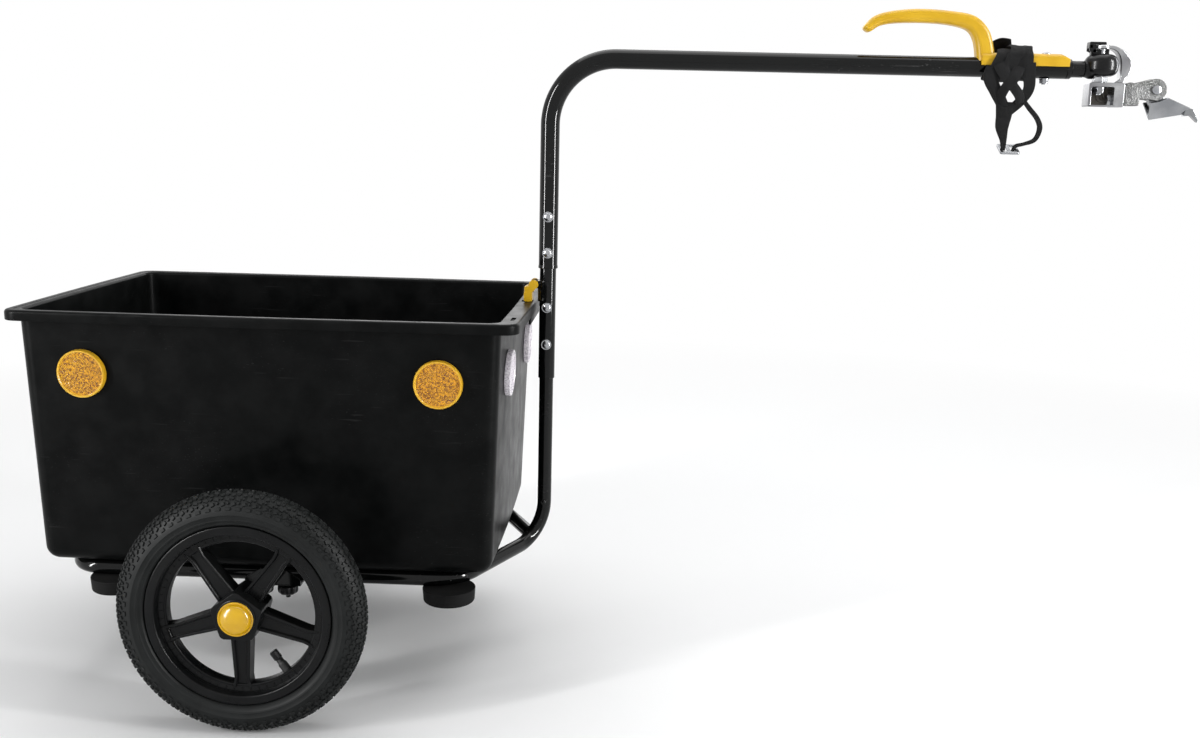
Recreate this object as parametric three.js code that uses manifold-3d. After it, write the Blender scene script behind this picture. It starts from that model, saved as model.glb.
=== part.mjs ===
// Cargo bike trailer: a moulded tub on a low tube frame, two wheels, a high drawbar and a swivelling hitch.
// Millimetres. +X points forward to the hitch, +Y to the trailer's left, +Z up.
// While it is built, X is measured from the axle, Y from the centre plane and Z from the ground.

import * as THREE from 'three';
import { mergeVertices } from 'three/addons/utils/BufferGeometryUtils.js';
import Module from 'manifold-3d';

const wasm = await Module();
wasm.setup();

// Clearances
const gap = 0.3;             // between pieces that touch
const runGap = 0.3;          // radial, between a shaft and what turns on it
const overrun = 5;           // how far every cutting tool runs past what it cuts

// Tyre, tube and rim: 12 1/2 inch wheel, bead seat 203
const tyreDiameter = 298;
const tyreWidth = 47;
const tyreTreadThickness = 5;
const tyreSideThickness = 3.5;
const tyreBeadLean = 2.8;    // how far the bead leans out between its seat and the side wall
const tyreCutAngle = 128;    // degrees from the tread to where the side wall meets the rim
const tyreCavityAngle = 110;
const beadSeatDiameter = 203;
const beadSeatWidth = 29;
const rimFlangeDiameter = 221;
const rimWidth = 37;
const rimOpeningDiameter = 176;
const rimWellDepth = 6;
const rimLipRound = 4;
const tubeWall = 1.5;
const tubeClearance = 2.5;
const valveDiameter = 8;
const valveStemLength = 26;
const wheelTrack = 610;

// Hub, spokes and bearings
const spokeCount = 5;
const spokeRootWidth = 24;
const spokeTipWidth = 17;
const spokeThickness = 20;
const spokeRib = 4.5;
const spokeRecess = 6;
const hubCircumDiameter = 66;
const hubInnerLength = 22;
const hubOuterLength = 23;
const bearingBore = 12;
const bearingDiameter = 28;
const bearingWidth = 8;
const bearingSleeveWall = 2;
const hubNutPocketDepth = 8;
const hubNutPocketDiameter = 31;
const hubCapDiameter = 42;
const hubCapHeight = 13;
const hubCapWall = 2;
const hubCapSkirt = 3.5;
const hubCapSkirtWall = 1.8;

// Axle
const axleHeight = tyreDiameter / 2;
const axleDiameter = 12;
const axleEndBeyondNut = 2;
const axleNutFlats = 19;
const axleNutHeight = 9;
const axleSleeveDiameter = 20;
const axleSpacerDiameter = 18;
const axleTubeWall = 2;

// Frame tubes: 3/4, 7/8 and 1 inch steel tube, telescoping
const frameTubeDiameter = 19.05;
const sleeveTubeDiameter = 22.2;
const drawbarTubeDiameter = 25.4;
const steelWall = 1.3;
const railSpacing = 350;
const rearTubeX = -266;
const rearBendRadius = 40;
const frontBendX = 234.2;
const frontBendRadius = 60;
const legRunX = 47.6;        // run of a leg along X for each legRunY across
const legRunY = 100;
const legEndX = 299;
const mastX = 330;
const mastFootBendHeight = 56;
const mastFootLead = 25;
const mastFootRise = 34;
const mastTopZ = 500;

// Mast sleeve and drawbar
const sleeveBottomZ = 380;
const sleeveTopZ = 622;
const drawbarBottomZ = 531;
const drawbarZ = 807.5;
const drawbarBendRadius = 86;
const drawbarFrontX = 995;

// Bolts through the mast
const lowerBoltZ = 427.4;
const upperBoltZ = 478.2;
const drawbarLowerBoltZ = 552;
const drawbarUpperBoltZ = 600.3;
const mastBoltDiameter = 6;
const mastBoltHeadDiameter = 14;
const mastBoltHeadHeight = 4;
const mastNutFlats = 10;
const mastNutHeight = 5;
const mastNutDomeHeight = 4;
const mastNutFlangeDiameter = 15;
const mastNutFlangeHeight = 1.6;
const mastRivetZ = 204;
const mastRivetDiameter = 5;
const mastRivetHeadDiameter = 9;
const mastRivetHeadHeight = 2.5;

// Cross bars and feet
const barWidth = 30;
const barThickness = 4;
const frontBarX = 150;
const rearBarX = -170;
const frontFootX = 224;
const rearFootX = -205;
const footDiameter = 70;
const footHeight = 15;
const footRound = 6;
const footRecessDiameter = 18;
const footRecessDepth = 6;
const footScrewDiameter = 6;

// Axle brackets and their knobs
const bracketLength = 72;
const bracketThickness = 3;
const bracketFlangeHeight = 19;
const knobBoltSpacing = 32;
const knobBoltDiameter = 6;
const knobBoltNutDiameter = 9;
const knobBoltNutHeight = 5;
const knobBoltNutDrop = 6.3; // from the rail's middle down to the nut inside it
const knobDiameter = 25;
const knobNeckDiameter = 12;
const knobHeight = 14;
const knobRound = 6;
const knobBoltTip = 5;

// Tub
const tubRimTopZ = 485.6;
const tubRearX = -303.9;     // outside of the rear wall just under the flange
const tubFrontX = 290.3;
const tubHalfWidth = 203.5;
const tubBottomRearX = -295.8;
const tubBottomFrontX = 279;
const tubBottomHalfWidth = 190;
const tubWall = 3;
const tubCornerRadius = 18;
const flangeCornerRadius = 20;
const tubBottomRound = 18;
const tubSideBulge = 4.5;
const tubEndBulge = 2;
const flangeSide = 13.5;
const flangeFront = 23;
const flangeThickness = 3;
const lipDepth = 13;
const lipRound = 2;
const apronHalfWidth = 60;
const apronDepth = 24;
const slotLength = 26;
const slotWidth = 6;
const slotY = 166;
const slotInset = 11.4;      // from the flange's front edge
const tubBoltY = 120;
const tubBoltDiameter = 6;

// Tub clip on the mast
const clipPinX = 311.7;
const clipPinZ = 509;
const clipPinDiameter = 4;
const clipPinHead = 1.6;
const clipKnuckleRadius = 4.5;
const clipKnuckleWidth = 12;
const clipWidth = 24;
const clipLegFrontX = 310;
const clipLegRearX = 298.5;
const clipShoulderDrop = 9;
const clipNibX = 304;
const clipNibLength = 8;
const clipNibWidth = 12;
const clipNibDepth = 3;
const clipSlotLength = 15;
const clipSlotWidth = 16;
const clipSlotRearX = 294.8;
const clipBracketThickness = 2;
const clipBracketHeight = 28;
const clipBracketDrop = 23;  // from the pin down to the bracket's lower end
const clipEarReach = 5.2;
const clipWrapAngle = 105;   // degrees each way round the sleeve

// Reflectors
const reflectorDiameter = 60;
const reflectorThickness = 7;
const reflectorSeatGap = 0.6;
const reflectorRimHeight = 1.2;
const reflectorRimWidth = 2.5;
const reflectorZ = 408.1;
const reflectorRearX = -223.9;
const reflectorFrontX = 215.3;
const frontReflectorY = 115;
const rearReflectorY = 130;

// Pull handle on the drawbar
const handleWidth = 24;
const handleEndX = 733.6;    // the grip's free end
const handleToeX = 903;      // front of the leg where it meets the saddle
const handleTopZ = 877.5;
const handleEdgeRound = 5;
const saddleRearX = 884;
const saddleFrontX = 996;
const saddleTopZ = 825.5;
const saddleSideWall = 2.6;
const saddleEdgeRise = 2;    // how far above the tube's middle the saddle's sides end
const saddleRound = 8;
const saddleSlopeLength = 11;
const saddleSlopeDrop = 6.7;
const handleBoltX = 969;
const handleBoltDiameter = 6;
const handleBoltHeadDiameter = 11;
const handleBoltHeadHeight = 2.4;
const handleNutFlats = 10;
const handleNutHeight = 6;
const handleNutFlangeDiameter = 13;
const handleNutFlangeHeight = 1.4;
const handleBoltTip = 1.2;

// Coupling neck and head
const neckFrontX = 1017.5;
const neckDiameter = 21;
const neckFlangeLength = 6;
const neckPlugLength = 48;
const neckBore = 13;
const spindleLength = 34;
const headX = 1040;
const headZ = 813;
const headDiameter = 42.6;
const headHeight = 28;
const headRound = 11;
const headBossFrontReach = 8;
const headBossRearReach = 15;
const headBossWidth = 7;
const headBossTopZ = 833;
const kingpinDiameter = 8;
const trunnionDiameter = 4;
const trunnionX = 1028.2;
const trunnionZ = 830.6;

// Latch on the head
const latchWidth = 12;
const latchTopZ = 842;
const latchBarThickness = 3.6;
const latchFrontX = 1042.9;
const latchRearX = 1021.7;
const latchLegThickness = 4.2;
const latchCheekRadius = 3.3;

// Hitch yoke: arm and bracket
const yokeWidth = 15;
const yokeTipRadius = 9.5;
const yokeTipThickness = 4.6;
const yokeOuterReach = 36.8;
const yokeOuterTopZ = 839;
const yokeInnerReach = 23.6;
const yokeShoulderDrop = 1;  // below the middle of the head
const yokeFootHeight = 5;
const yokeFootReach = 1.2;
const yokeInnerSquareness = 0.6;
const bracketRearX = 1024;
const bracketFrontX = 1069;
const bracketTopZ = 791.3;
const bracketBottomZ = 760.5;
const bracketWidth = 24;
const bracketRearWall = 3.5;
const bracketTopWall = 5.7;
const bracketFrontWall = 13;
const kingpinCollarFlats = 17;
const kingpinCollarClearance = 0.6;
const kingpinNutFlats = 13;
const kingpinNutHeight = 8;
const kingpinNutFlangeDiameter = 17;
const kingpinNutFlangeHeight = 1.5;
const kingpinThreadBeyond = 2;

// Knuckle, pin and clamp jaw
const knuckleBlockFrontX = 1089.7;
const knuckleBlockWidth = 24;
const knuckleBlockTopZ = 791;
const knuckleBlockBottomZ = 762.7;
const knucklePinX = 1109.3;
const knucklePinZ = 783.4;
const knuckleEyeDiameter = 28;
const knuckleWidth = 24;
const knuckleForkGap = 10;
const knuckleForkSet = 2;    // how far in front of the block the fork's slot ends
const knucklePinDiameter = 8;
const knucklePinHeadDiameter = 12;
const knucklePinHeadHeight = 2;
const knuckleBoltZ = 769.5;
const knuckleBoltDiameter = 8;
const knuckleBoltFlats = 12;
const knuckleBoltHead = 5;
const knuckleBoltReach = 24;
const jawSheet = 2.6;
const jawHalfWidth = 15;
const jawRearTopX = 1103;
const jawRearTopZ = 766.5;
const jawSeatX = 1113;       // where the wings dip under the knuckle's eye
const jawSeatZ = 768;
const jawRearFootX = 1108;
const jawRearFootZ = 744.4;
const jawFrontFootX = 1161.6;
const jawFrontFootZ = 754.2;
const jawFrontTopX = 1158;
const jawFrontTopZ = 761;
const jawCrownX = 1124;
const jawCrownZ = 773;
const jawTailX = 1168.9;
const jawTailZ = 745.6;
const jawTailThickness = 4;
const jawTailWidth = 8;
const jawTongueRadius = 11;
const jawTongueEndX = 1134;

// Safety strap
const strapWidth = 31;
const strapThickness = 1.8;
const strapRearBandX = 911.5;
const strapFrontBandX = 936;
const strapRearBandTopZ = 831;
const strapFrontBandTopZ = 837;
const strapRearBandLean = 20;
const strapFrontBandLean = -3;
const strapBandHalfWidth = 19;
const strapBandRound = 15.2;
const strapKnotThickness = 5.4;
const strapKnotRearX = 889;
const strapKnotFrontX = 952;
const strapKnotTopZ = 796;
const strapKnotPeakZ = 818;
const strapKnotHeelX = 906.5;
const strapKnotHeelZ = 761.3;
const strapKnotFootX = 929;
const strapKnotFootZ = 755.9;
const strapKnotToeZ = 770;
const strapTailEndX = 919.2;
const strapTailEndZ = 701;
const strapTailEndWidth = 3.6;
const strapTailWidth = 18;
const strapTailMiddleZ = 732;
const strapLoopStartX = 943;
const strapLoopStartZ = 769;
const strapLoopFarX = 963;
const strapLoopFarZ = 732;
const strapLoopTurnX = 958.4;
const strapLoopTurnZ = 716;
const strapLoopLowX = 938;
const strapLoopLowZ = 708.5;
const strapLoopEndX = 930.8;
const strapLoopThickness = 2.5;
const strapLoopWidth = 6;
const buckleLength = 25;
const buckleWidth = 26;
const buckleThickness = 4;
const buckleBar = 4;
const buckleX = 925.5;
const buckleZ = 704;

// Shape shares
const boltHeadTopShare = 0.7;
const tightCornerShare = 0.3;          // of the tub's corner radius, the least that a ring's corner keeps
const neckPlugEaseShare = 0.985;
// The grip's upper and lower edges: along its length from the free end to the leg's front, and up from the
// saddle's top to the grip's top. Negative ones go down into the saddle, as shares of its depth.
const gripUpperShares = [
  [0, 0.587], [0.078, 0.833], [0.321, 0.998], [0.65, 0.975], [0.834, 0.854], [0.939, 0.527], [0.989, 0.035],
  [1, -0.53]];
const gripLowerShares = [
  [0.051, 0.452], [0.13, 0.604], [0.374, 0.685], [0.664, 0.635], [0.787, 0.51], [0.835, 0.279],
  [0.859, -0.286], [0.864, -0.657]];
// Where the knuckle's eye runs into its block, in radii of the eye from its centre.
const eyeRootShares = { upper: 0.65, lower: 0.75, heelAlong: 0.5, heelDown: 0.86 };
const tailBellyShares = { rear: 0.62, front: 0.25 };

// Facets
const ringSides = 32;
const turnedSides = 16;
const tubeSides = 12;
const smallSides = 10;
const boltSides = 8;
const bendSteps = 4;

// Materials
const blackPlastic = finish(0x17181a, 0.45, 0);
const blackPaint = finish(0x0c0c0d, 0.2, 0.3);
const tyreRubber = finish(0x1d1e1f, 0.85, 0);
const blackRubber = finish(0x151515, 0.8, 0);
const yellowPlastic = finish(0xd9b02a, 0.35, 0);
const amberLens = finish(0xc58a1c, 0.15, 0);
const clearLens = finish(0xe4e6ea, 0.1, 0);
const redLens = finish(0xa01414, 0.15, 0);
const zinc = finish(0xb9bcc0, 0.35, 0.9);
const castMetal = finish(0x9b9c9c, 0.5, 0.8);
const bareSteel = finish(0x8f9297, 0.3, 0.9);
const webbing = finish(0x111113, 0.9, 0);

function finish(color, roughness, metalness) {
  return new THREE.MeshStandardMaterial({ color, roughness, metalness });
}

// Solids. Each helper returns a manifold solid that is already in its place.

function solid(geometry) {
  const bare = geometry.index ? geometry.toNonIndexed() : geometry.clone();
  bare.deleteAttribute('normal');
  bare.deleteAttribute('uv');
  const merged = mergeVertices(bare, 1e-4);
  const points = merged.getAttribute('position').array;
  const corners = merged.index.array;
  const kept = [];
  let volume = 0;
  for (let i = 0; i < corners.length; i += 3) {
    const [a, b, c] = [corners[i], corners[i + 1], corners[i + 2]];
    if (a === b || b === c || c === a) continue;
    kept.push(a, b, c);
    const pa = new THREE.Vector3().fromArray(points, a * 3);
    const pb = new THREE.Vector3().fromArray(points, b * 3);
    const pc = new THREE.Vector3().fromArray(points, c * 3);
    volume += pa.dot(pb.cross(pc));
  }
  if (volume < 0) {
    for (let i = 0; i < kept.length; i += 3) [kept[i], kept[i + 1]] = [kept[i + 1], kept[i]];
  }
  const mesh = new wasm.Mesh({
    numProp: 3,
    vertProperties: new Float32Array(points),
    triVerts: new Uint32Array(kept),
  });
  return new wasm.Manifold(mesh);
}

function geometryOf(piece) {
  const mesh = piece.getMesh();
  const geometry = new THREE.BufferGeometry();
  geometry.setAttribute('position', new THREE.BufferAttribute(new Float32Array(mesh.vertProperties), 3));
  geometry.setIndex(new THREE.BufferAttribute(new Uint32Array(mesh.triVerts), 1));
  geometry.computeVertexNormals();
  return geometry;
}

function joined(pieces) {
  return pieces.reduce((whole, piece) => whole.add(piece));
}

function block(low, high) {
  const size = new THREE.Vector3(...high).sub(new THREE.Vector3(...low));
  const geometry = new THREE.BoxGeometry(size.x, size.y, size.z);
  geometry.translate((low[0] + high[0]) / 2, (low[1] + high[1]) / 2, (low[2] + high[2]) / 2);
  return solid(geometry);
}

// A round or many-sided bar between two points. One flat faces the side when turn is half a side.
function bar(from, to, radius, sides = smallSides, turnShare = 0, endRadius = radius) {
  const start = new THREE.Vector3(...from);
  const end = new THREE.Vector3(...to);
  const along = end.clone().sub(start);
  const geometry = new THREE.CylinderGeometry(endRadius, radius, along.length(), sides, 1);
  geometry.rotateY((turnShare * 2 * Math.PI) / sides);
  const up = new THREE.Vector3(0, 1, 0);
  geometry.applyQuaternion(new THREE.Quaternion().setFromUnitVectors(up, along.normalize()));
  geometry.translate(...start.add(end).multiplyScalar(0.5).toArray());
  return solid(geometry);
}

function hexRadius(flats) {
  return flats / 2 / Math.cos(Math.PI / 6);
}

// A profile of [radius, height] pairs turned about an axis through a point. The axis is 'x', 'y' or 'z'.
function turned(profile, axis, at, sides) {
  const points = profile.map(([radius, height]) => new THREE.Vector2(radius, height));
  const geometry = new THREE.LatheGeometry(points, sides);
  if (axis === 'z') geometry.rotateX(Math.PI / 2);
  if (axis === 'x') geometry.rotateZ(-Math.PI / 2);
  geometry.translate(...at);
  return solid(geometry);
}

// An outline of [x, z] pairs, extruded across Y about the centre plane.
function plate(outline, width, middleY = 0) {
  const shape = new THREE.Shape(outline.map(([x, z]) => new THREE.Vector2(x, z)));
  const geometry = new THREE.ExtrudeGeometry(shape, { depth: width, bevelEnabled: false });
  geometry.rotateX(Math.PI / 2);
  geometry.translate(0, middleY + width / 2, 0);
  return solid(geometry);
}

function circle(radius, sides) {
  const points = [];
  for (let i = 0; i < sides; i += 1) {
    const angle = ((i + 0.5) * 2 * Math.PI) / sides;
    points.push(new THREE.Vector2(radius * Math.cos(angle), radius * Math.sin(angle)));
  }
  return points;
}

// A run of straight and curved stretches. A straight one gives only its ends, a curve gives equal steps.
class Run extends THREE.Curve {
  constructor(stretches) {
    super();
    this.places = [];
    for (const { curve, steps } of stretches) {
      const first = this.places.length === 0 ? 0 : 1;
      for (let i = first; i <= steps; i += 1) {
        this.places.push({ point: curve.getPoint(i / steps), tangent: curve.getTangent(i / steps) });
      }
    }
  }

  get steps() {
    return this.places.length - 1;
  }

  getPointAt(share) {
    return this.places[Math.round(share * this.steps)].point.clone();
  }

  getTangentAt(share) {
    return this.places[Math.round(share * this.steps)].tangent.clone();
  }
}

// A round bend between two straight stretches that meet at a corner.
class Bend extends THREE.Curve {
  constructor(before, corner, after, radius) {
    super();
    this.inward = corner.clone().sub(before).normalize();
    this.outward = after.clone().sub(corner).normalize();
    this.turn = this.inward.angleTo(this.outward);
    this.radius = radius;
    this.setback = radius * Math.tan(this.turn / 2);
    this.start = corner.clone().addScaledVector(this.inward, -this.setback);
    this.end = corner.clone().addScaledVector(this.outward, this.setback);
    this.side = this.outward.clone().addScaledVector(this.inward, -this.outward.dot(this.inward)).normalize();
  }

  getPoint(share) {
    const angle = share * this.turn;
    return this.start.clone()
      .addScaledVector(this.inward, this.radius * Math.sin(angle))
      .addScaledVector(this.side, this.radius * (1 - Math.cos(angle)));
  }

  getTangent(share) {
    const angle = share * this.turn;
    return this.inward.clone().multiplyScalar(Math.cos(angle)).addScaledVector(this.side, Math.sin(angle));
  }
}

function straight(from, to) {
  return { curve: new THREE.LineCurve3(from, to), steps: 1 };
}

function tubeAlong(run, radius, wall, sides = tubeSides) {
  const shape = new THREE.Shape(circle(radius, sides));
  if (wall > 0) shape.holes.push(new THREE.Path(circle(radius - wall, sides)));
  return solid(new THREE.ExtrudeGeometry(shape, { steps: run.steps, extrudePath: run }));
}

function stripAlong(run, width, thickness) {
  const shape = new THREE.Shape([
    new THREE.Vector2(-thickness / 2, -width / 2),
    new THREE.Vector2(thickness / 2, -width / 2),
    new THREE.Vector2(thickness / 2, width / 2),
    new THREE.Vector2(-thickness / 2, width / 2),
  ]);
  return solid(new THREE.ExtrudeGeometry(shape, { steps: run.steps, extrudePath: run }));
}

// A closed skin through rings that all have the same number of points, capped at both ends.
function loft(rings) {
  const count = rings[0].length;
  const positions = rings.flat().flatMap((point) => point.toArray());
  const indices = [];
  for (let r = 0; r < rings.length - 1; r += 1) {
    for (let i = 0; i < count; i += 1) {
      const a = r * count + i;
      const b = r * count + ((i + 1) % count);
      indices.push(a, b, a + count, b, b + count, a + count);
    }
  }
  for (const [ring, base, flip] of [
    [rings[0], 0, true],
    [rings[rings.length - 1], (rings.length - 1) * count, false],
  ]) {
    const middle = ring.reduce((sum, point) => sum.add(point), new THREE.Vector3()).divideScalar(count);
    const hub = positions.length / 3;
    positions.push(...middle.toArray());
    for (let i = 0; i < count; i += 1) {
      const [a, b] = [base + i, base + ((i + 1) % count)];
      indices.push(hub, ...(flip ? [b, a] : [a, b]));
    }
  }
  const geometry = new THREE.BufferGeometry();
  geometry.setAttribute('position', new THREE.Float32BufferAttribute(positions, 3));
  geometry.setIndex(indices);
  return solid(geometry);
}

function vec(x, y, z) {
  return new THREE.Vector3(x, y, z);
}

// Points of an arc in a plane, as [u, v] pairs, angles in degrees.
function arc(centreU, centreV, radius, from, to, steps) {
  const points = [];
  for (let i = 0; i <= steps; i += 1) {
    const angle = THREE.MathUtils.degToRad(from + ((to - from) * i) / steps);
    points.push([centreU + radius * Math.cos(angle), centreV + radius * Math.sin(angle)]);
  }
  return points;
}

const trailer = new THREE.Group();

function add(name, piece, material, parent = trailer) {
  const mesh = new THREE.Mesh(geometryOf(piece), material);
  mesh.name = name;
  parent.add(mesh);
  return mesh;
}

const sides = { right: -1, left: 1 };

// Places that follow from the sizes above
const railY = railSpacing / 2;
const frameRadius = frameTubeDiameter / 2;
const sleeveRadius = sleeveTubeDiameter / 2;
const drawbarRadius = drawbarTubeDiameter / 2;
const railTopZ = axleHeight + frameRadius;
const railBottomZ = axleHeight - frameRadius;
const railFlatZ = axleHeight + frameRadius * Math.cos(Math.PI / tubeSides);
const tubFloorZ = railTopZ + gap;
const tubWallTopZ = tubRimTopZ - flangeThickness;
const hubOuterY = wheelTrack / 2 + hubOuterLength;
const hubInnerY = wheelTrack / 2 - hubInnerLength;
const axleNutInnerY = hubOuterY - hubNutPocketDepth + gap;
const axleNutOuterY = axleNutInnerY + axleNutHeight;
const axleHalfLength = axleNutOuterY + axleEndBeyondNut;

// Tub

// Where the tub's outer wall stands at a height, with an allowance outwards.
function tubSection(z, allowance) {
  const share = (z - tubFloorZ) / (tubWallTopZ - tubFloorZ);
  const between = (low, high) => low + (high - low) * share;
  return {
    rear: between(tubBottomRearX, tubRearX) - allowance.rear,
    front: between(tubBottomFrontX, tubFrontX) + allowance.front,
    half: between(tubBottomHalfWidth, tubHalfWidth) + allowance.side,
    corner: allowance.corner,
  };
}

function evenAllowance(size) {
  const corner = Math.max(tubCornerRadius + size, tubCornerRadius * tightCornerShare);
  return { rear: size, front: size, side: size, corner };
}

const flangeAllowance = {
  rear: flangeSide, front: flangeFront, side: flangeSide, corner: flangeCornerRadius,
};

function lessAllowance({ rear, front, side, corner }, size) {
  return { rear: rear - size, front: front - size, side: side - size, corner: corner - size };
}

// One ring of points round the tub at a height. Its long sides bow out a little.
function tubRing(z, allowance, at = z) {
  const { rear, front, half, corner } = tubSection(z, allowance);
  const cornerSteps = 4;
  const sideSteps = 4;
  const corners = [
    [front - corner, -(half - corner), -90],
    [front - corner, half - corner, 0],
    [rear + corner, half - corner, 90],
    [rear + corner, -(half - corner), 180],
  ];
  const points = [];
  corners.forEach(([x, y, from], index) => {
    for (const [px, py] of arc(x, y, corner, from, from + 90, cornerSteps)) points.push(vec(px, py, at));
    const last = points[points.length - 1];
    const next = corners[(index + 1) % corners.length];
    const [nextX, nextY] = arc(next[0], next[1], corner, next[2], next[2], 1)[0];
    const bulge = index % 2 === 0 ? tubEndBulge : tubSideBulge;
    const outwards = [[1, 0], [0, 1], [-1, 0], [0, -1]][index];
    for (let i = 1; i < sideSteps; i += 1) {
      const bow = bulge * Math.sin((Math.PI * i) / sideSteps);
      const x2 = last.x + ((nextX - last.x) * i) / sideSteps + outwards[0] * bow;
      const y2 = last.y + ((nextY - last.y) * i) / sideSteps + outwards[1] * bow;
      points.push(vec(x2, y2, at));
    }
  });
  return points;
}

function makeTub() {
  const rings = [];
  const roundShares = [0, 1 / 3, 2 / 3, 1];
  for (const share of roundShares) {
    const angle = (share * Math.PI) / 2;
    const inset = tubBottomRound * (1 - Math.sin(angle));
    const z = tubFloorZ + tubBottomRound * (1 - Math.cos(angle));
    rings.push(tubRing(z, evenAllowance(-inset)));
  }
  const innerLip = lessAllowance(flangeAllowance, flangeThickness);
  rings.push(tubRing(tubWallTopZ, evenAllowance(0)));
  rings.push(tubRing(tubWallTopZ, innerLip));
  rings.push(tubRing(tubWallTopZ, innerLip, tubRimTopZ - lipDepth));
  rings.push(tubRing(tubWallTopZ, flangeAllowance, tubRimTopZ - lipDepth));
  rings.push(tubRing(tubWallTopZ, flangeAllowance, tubRimTopZ - lipRound));
  rings.push(tubRing(tubWallTopZ, lessAllowance(flangeAllowance, lipRound), tubRimTopZ));
  rings.push(tubRing(tubWallTopZ, evenAllowance(-tubWall), tubRimTopZ));
  const innerRound = tubBottomRound - tubWall;
  for (const share of [...roundShares].reverse()) {
    const angle = (share * Math.PI) / 2;
    const inset = tubWall + innerRound * (1 - Math.sin(angle));
    const z = tubFloorZ + tubWall + innerRound * (1 - Math.cos(angle));
    rings.push(tubRing(z, evenAllowance(-inset)));
  }
  const rimFrontX = tubFrontX + flangeFront;
  const apron = block(
    [rimFrontX - flangeThickness, -apronHalfWidth, tubRimTopZ - apronDepth],
    [rimFrontX, apronHalfWidth, tubRimTopZ - lipRound],
  );
  const cuts = [];
  for (const side of [-1, 1]) {
    const middleX = rimFrontX - slotInset;
    cuts.push(block(
      [middleX - slotWidth / 2, side * slotY - slotLength / 2, tubWallTopZ - overrun],
      [middleX + slotWidth / 2, side * slotY + slotLength / 2, tubRimTopZ + overrun],
    ));
    for (const x of [frontBarX, rearBarX]) {
      const y = side * tubBoltY;
      const radius = tubBoltDiameter / 2 + gap;
      cuts.push(bar([x, y, tubFloorZ - overrun], [x, y, tubFloorZ + tubWall + overrun], radius, boltSides));
    }
  }
  cuts.push(block(
    [clipSlotRearX, -clipSlotWidth / 2, tubWallTopZ - overrun],
    [clipSlotRearX + clipSlotLength, clipSlotWidth / 2, tubRimTopZ + overrun],
  ));
  return loft(rings).add(apron).subtract(joined(cuts));
}

add('tub', makeTub(), blackPlastic);

// Frame tubes

const footCorner = (side) => vec(legEndX, side * legYAt(legEndX), axleHeight);

// The leg's distance from the centre plane at a place along X.
function legYAt(x) {
  return railY - ((x - frontBendX) * legRunY) / legRunX;
}

function frameRun(side, top) {
  const rearMiddle = vec(rearTubeX, (side * gap) / 2, axleHeight);
  const rearCorner = vec(rearTubeX, side * railY, axleHeight);
  const frontCorner = vec(frontBendX, side * railY, axleHeight);
  const legEnd = footCorner(side);
  const rearBend = new Bend(rearMiddle, rearCorner, frontCorner, rearBendRadius);
  const frontBend = new Bend(rearCorner, frontCorner, legEnd, frontBendRadius);
  const stretches = [
    straight(rearMiddle, rearBend.start),
    { curve: rearBend, steps: bendSteps },
    straight(rearBend.end, frontBend.start),
    { curve: frontBend, steps: bendSteps },
    straight(frontBend.end, legEnd),
  ];
  if (top > 0) {
    const legWay = legEnd.clone().sub(frontCorner).normalize();
    const mastFoot = vec(mastX, 0, axleHeight + mastFootBendHeight);
    const lead = legEnd.clone().addScaledVector(legWay, mastFootLead);
    const below = mastFoot.clone().sub(vec(0, 0, mastFootRise));
    const sweep = new THREE.CubicBezierCurve3(legEnd, lead, below, mastFoot);
    stretches.push({ curve: sweep, steps: bendSteps * 2 });
    stretches.push(straight(mastFoot, vec(mastX, 0, top)));
  } else {
    const meeting = vec(legEndX + (legYAt(legEndX) * legRunX) / legRunY, 0, axleHeight);
    stretches.push(straight(legEnd, meeting));
  }
  return new Run(stretches);
}

function axleHole(y, radius) {
  const reach = frameTubeDiameter;
  return bar([0, y - reach, axleHeight], [0, y + reach, axleHeight], radius, tubeSides);
}

function boltHoleAcross(x, z, radius) {
  return bar([x, -drawbarTubeDiameter, z], [x, drawbarTubeDiameter, z], radius, boltSides);
}

function uprightHole(x, y, z, reach, radius) {
  return bar([x, y, z - reach], [x, y, z + reach], radius, boltSides);
}

function railCuts(side) {
  const y = side * railY;
  const cuts = [axleHole(y, axleDiameter / 2 + gap)];
  for (const x of [-knobBoltSpacing / 2, knobBoltSpacing / 2]) {
    cuts.push(uprightHole(x, y, railBottomZ, steelWall * 2, knobBoltDiameter / 2 + gap));
  }
  for (const x of [frontFootX, rearFootX]) {
    cuts.push(uprightHole(x, y, railBottomZ, frameRadius, footScrewDiameter / 2 + gap));
  }
  return cuts;
}

const rightRun = frameRun(sides.right, mastTopZ);
const rightTubeCuts = [
  ...railCuts(sides.right),
  boltHoleAcross(mastX, lowerBoltZ, mastBoltDiameter / 2 + gap),
  boltHoleAcross(mastX, upperBoltZ, mastBoltDiameter / 2 + gap),
  boltHoleAcross(mastX, mastRivetZ, mastRivetDiameter / 2 + gap),
];
const rightTube = tubeAlong(rightRun, frameRadius, steelWall);
add('right_frame_tube', rightTube.subtract(joined(rightTubeCuts)), blackPaint);

const rightTubeSpace = tubeAlong(rightRun, frameRadius + gap, 0);
const leftRun = frameRun(sides.left, 0);
const leftTubeSpace = tubeAlong(leftRun, frameRadius + gap, 0);
const leftTube = tubeAlong(leftRun, frameRadius, steelWall);
const leftTubeCuts = [...railCuts(sides.left), rightTubeSpace];
add('left_frame_tube', leftTube.subtract(joined(leftTubeCuts)), blackPaint);

// Flat cross bars between the rails, level with their tops, which the tub is bolted to

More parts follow.
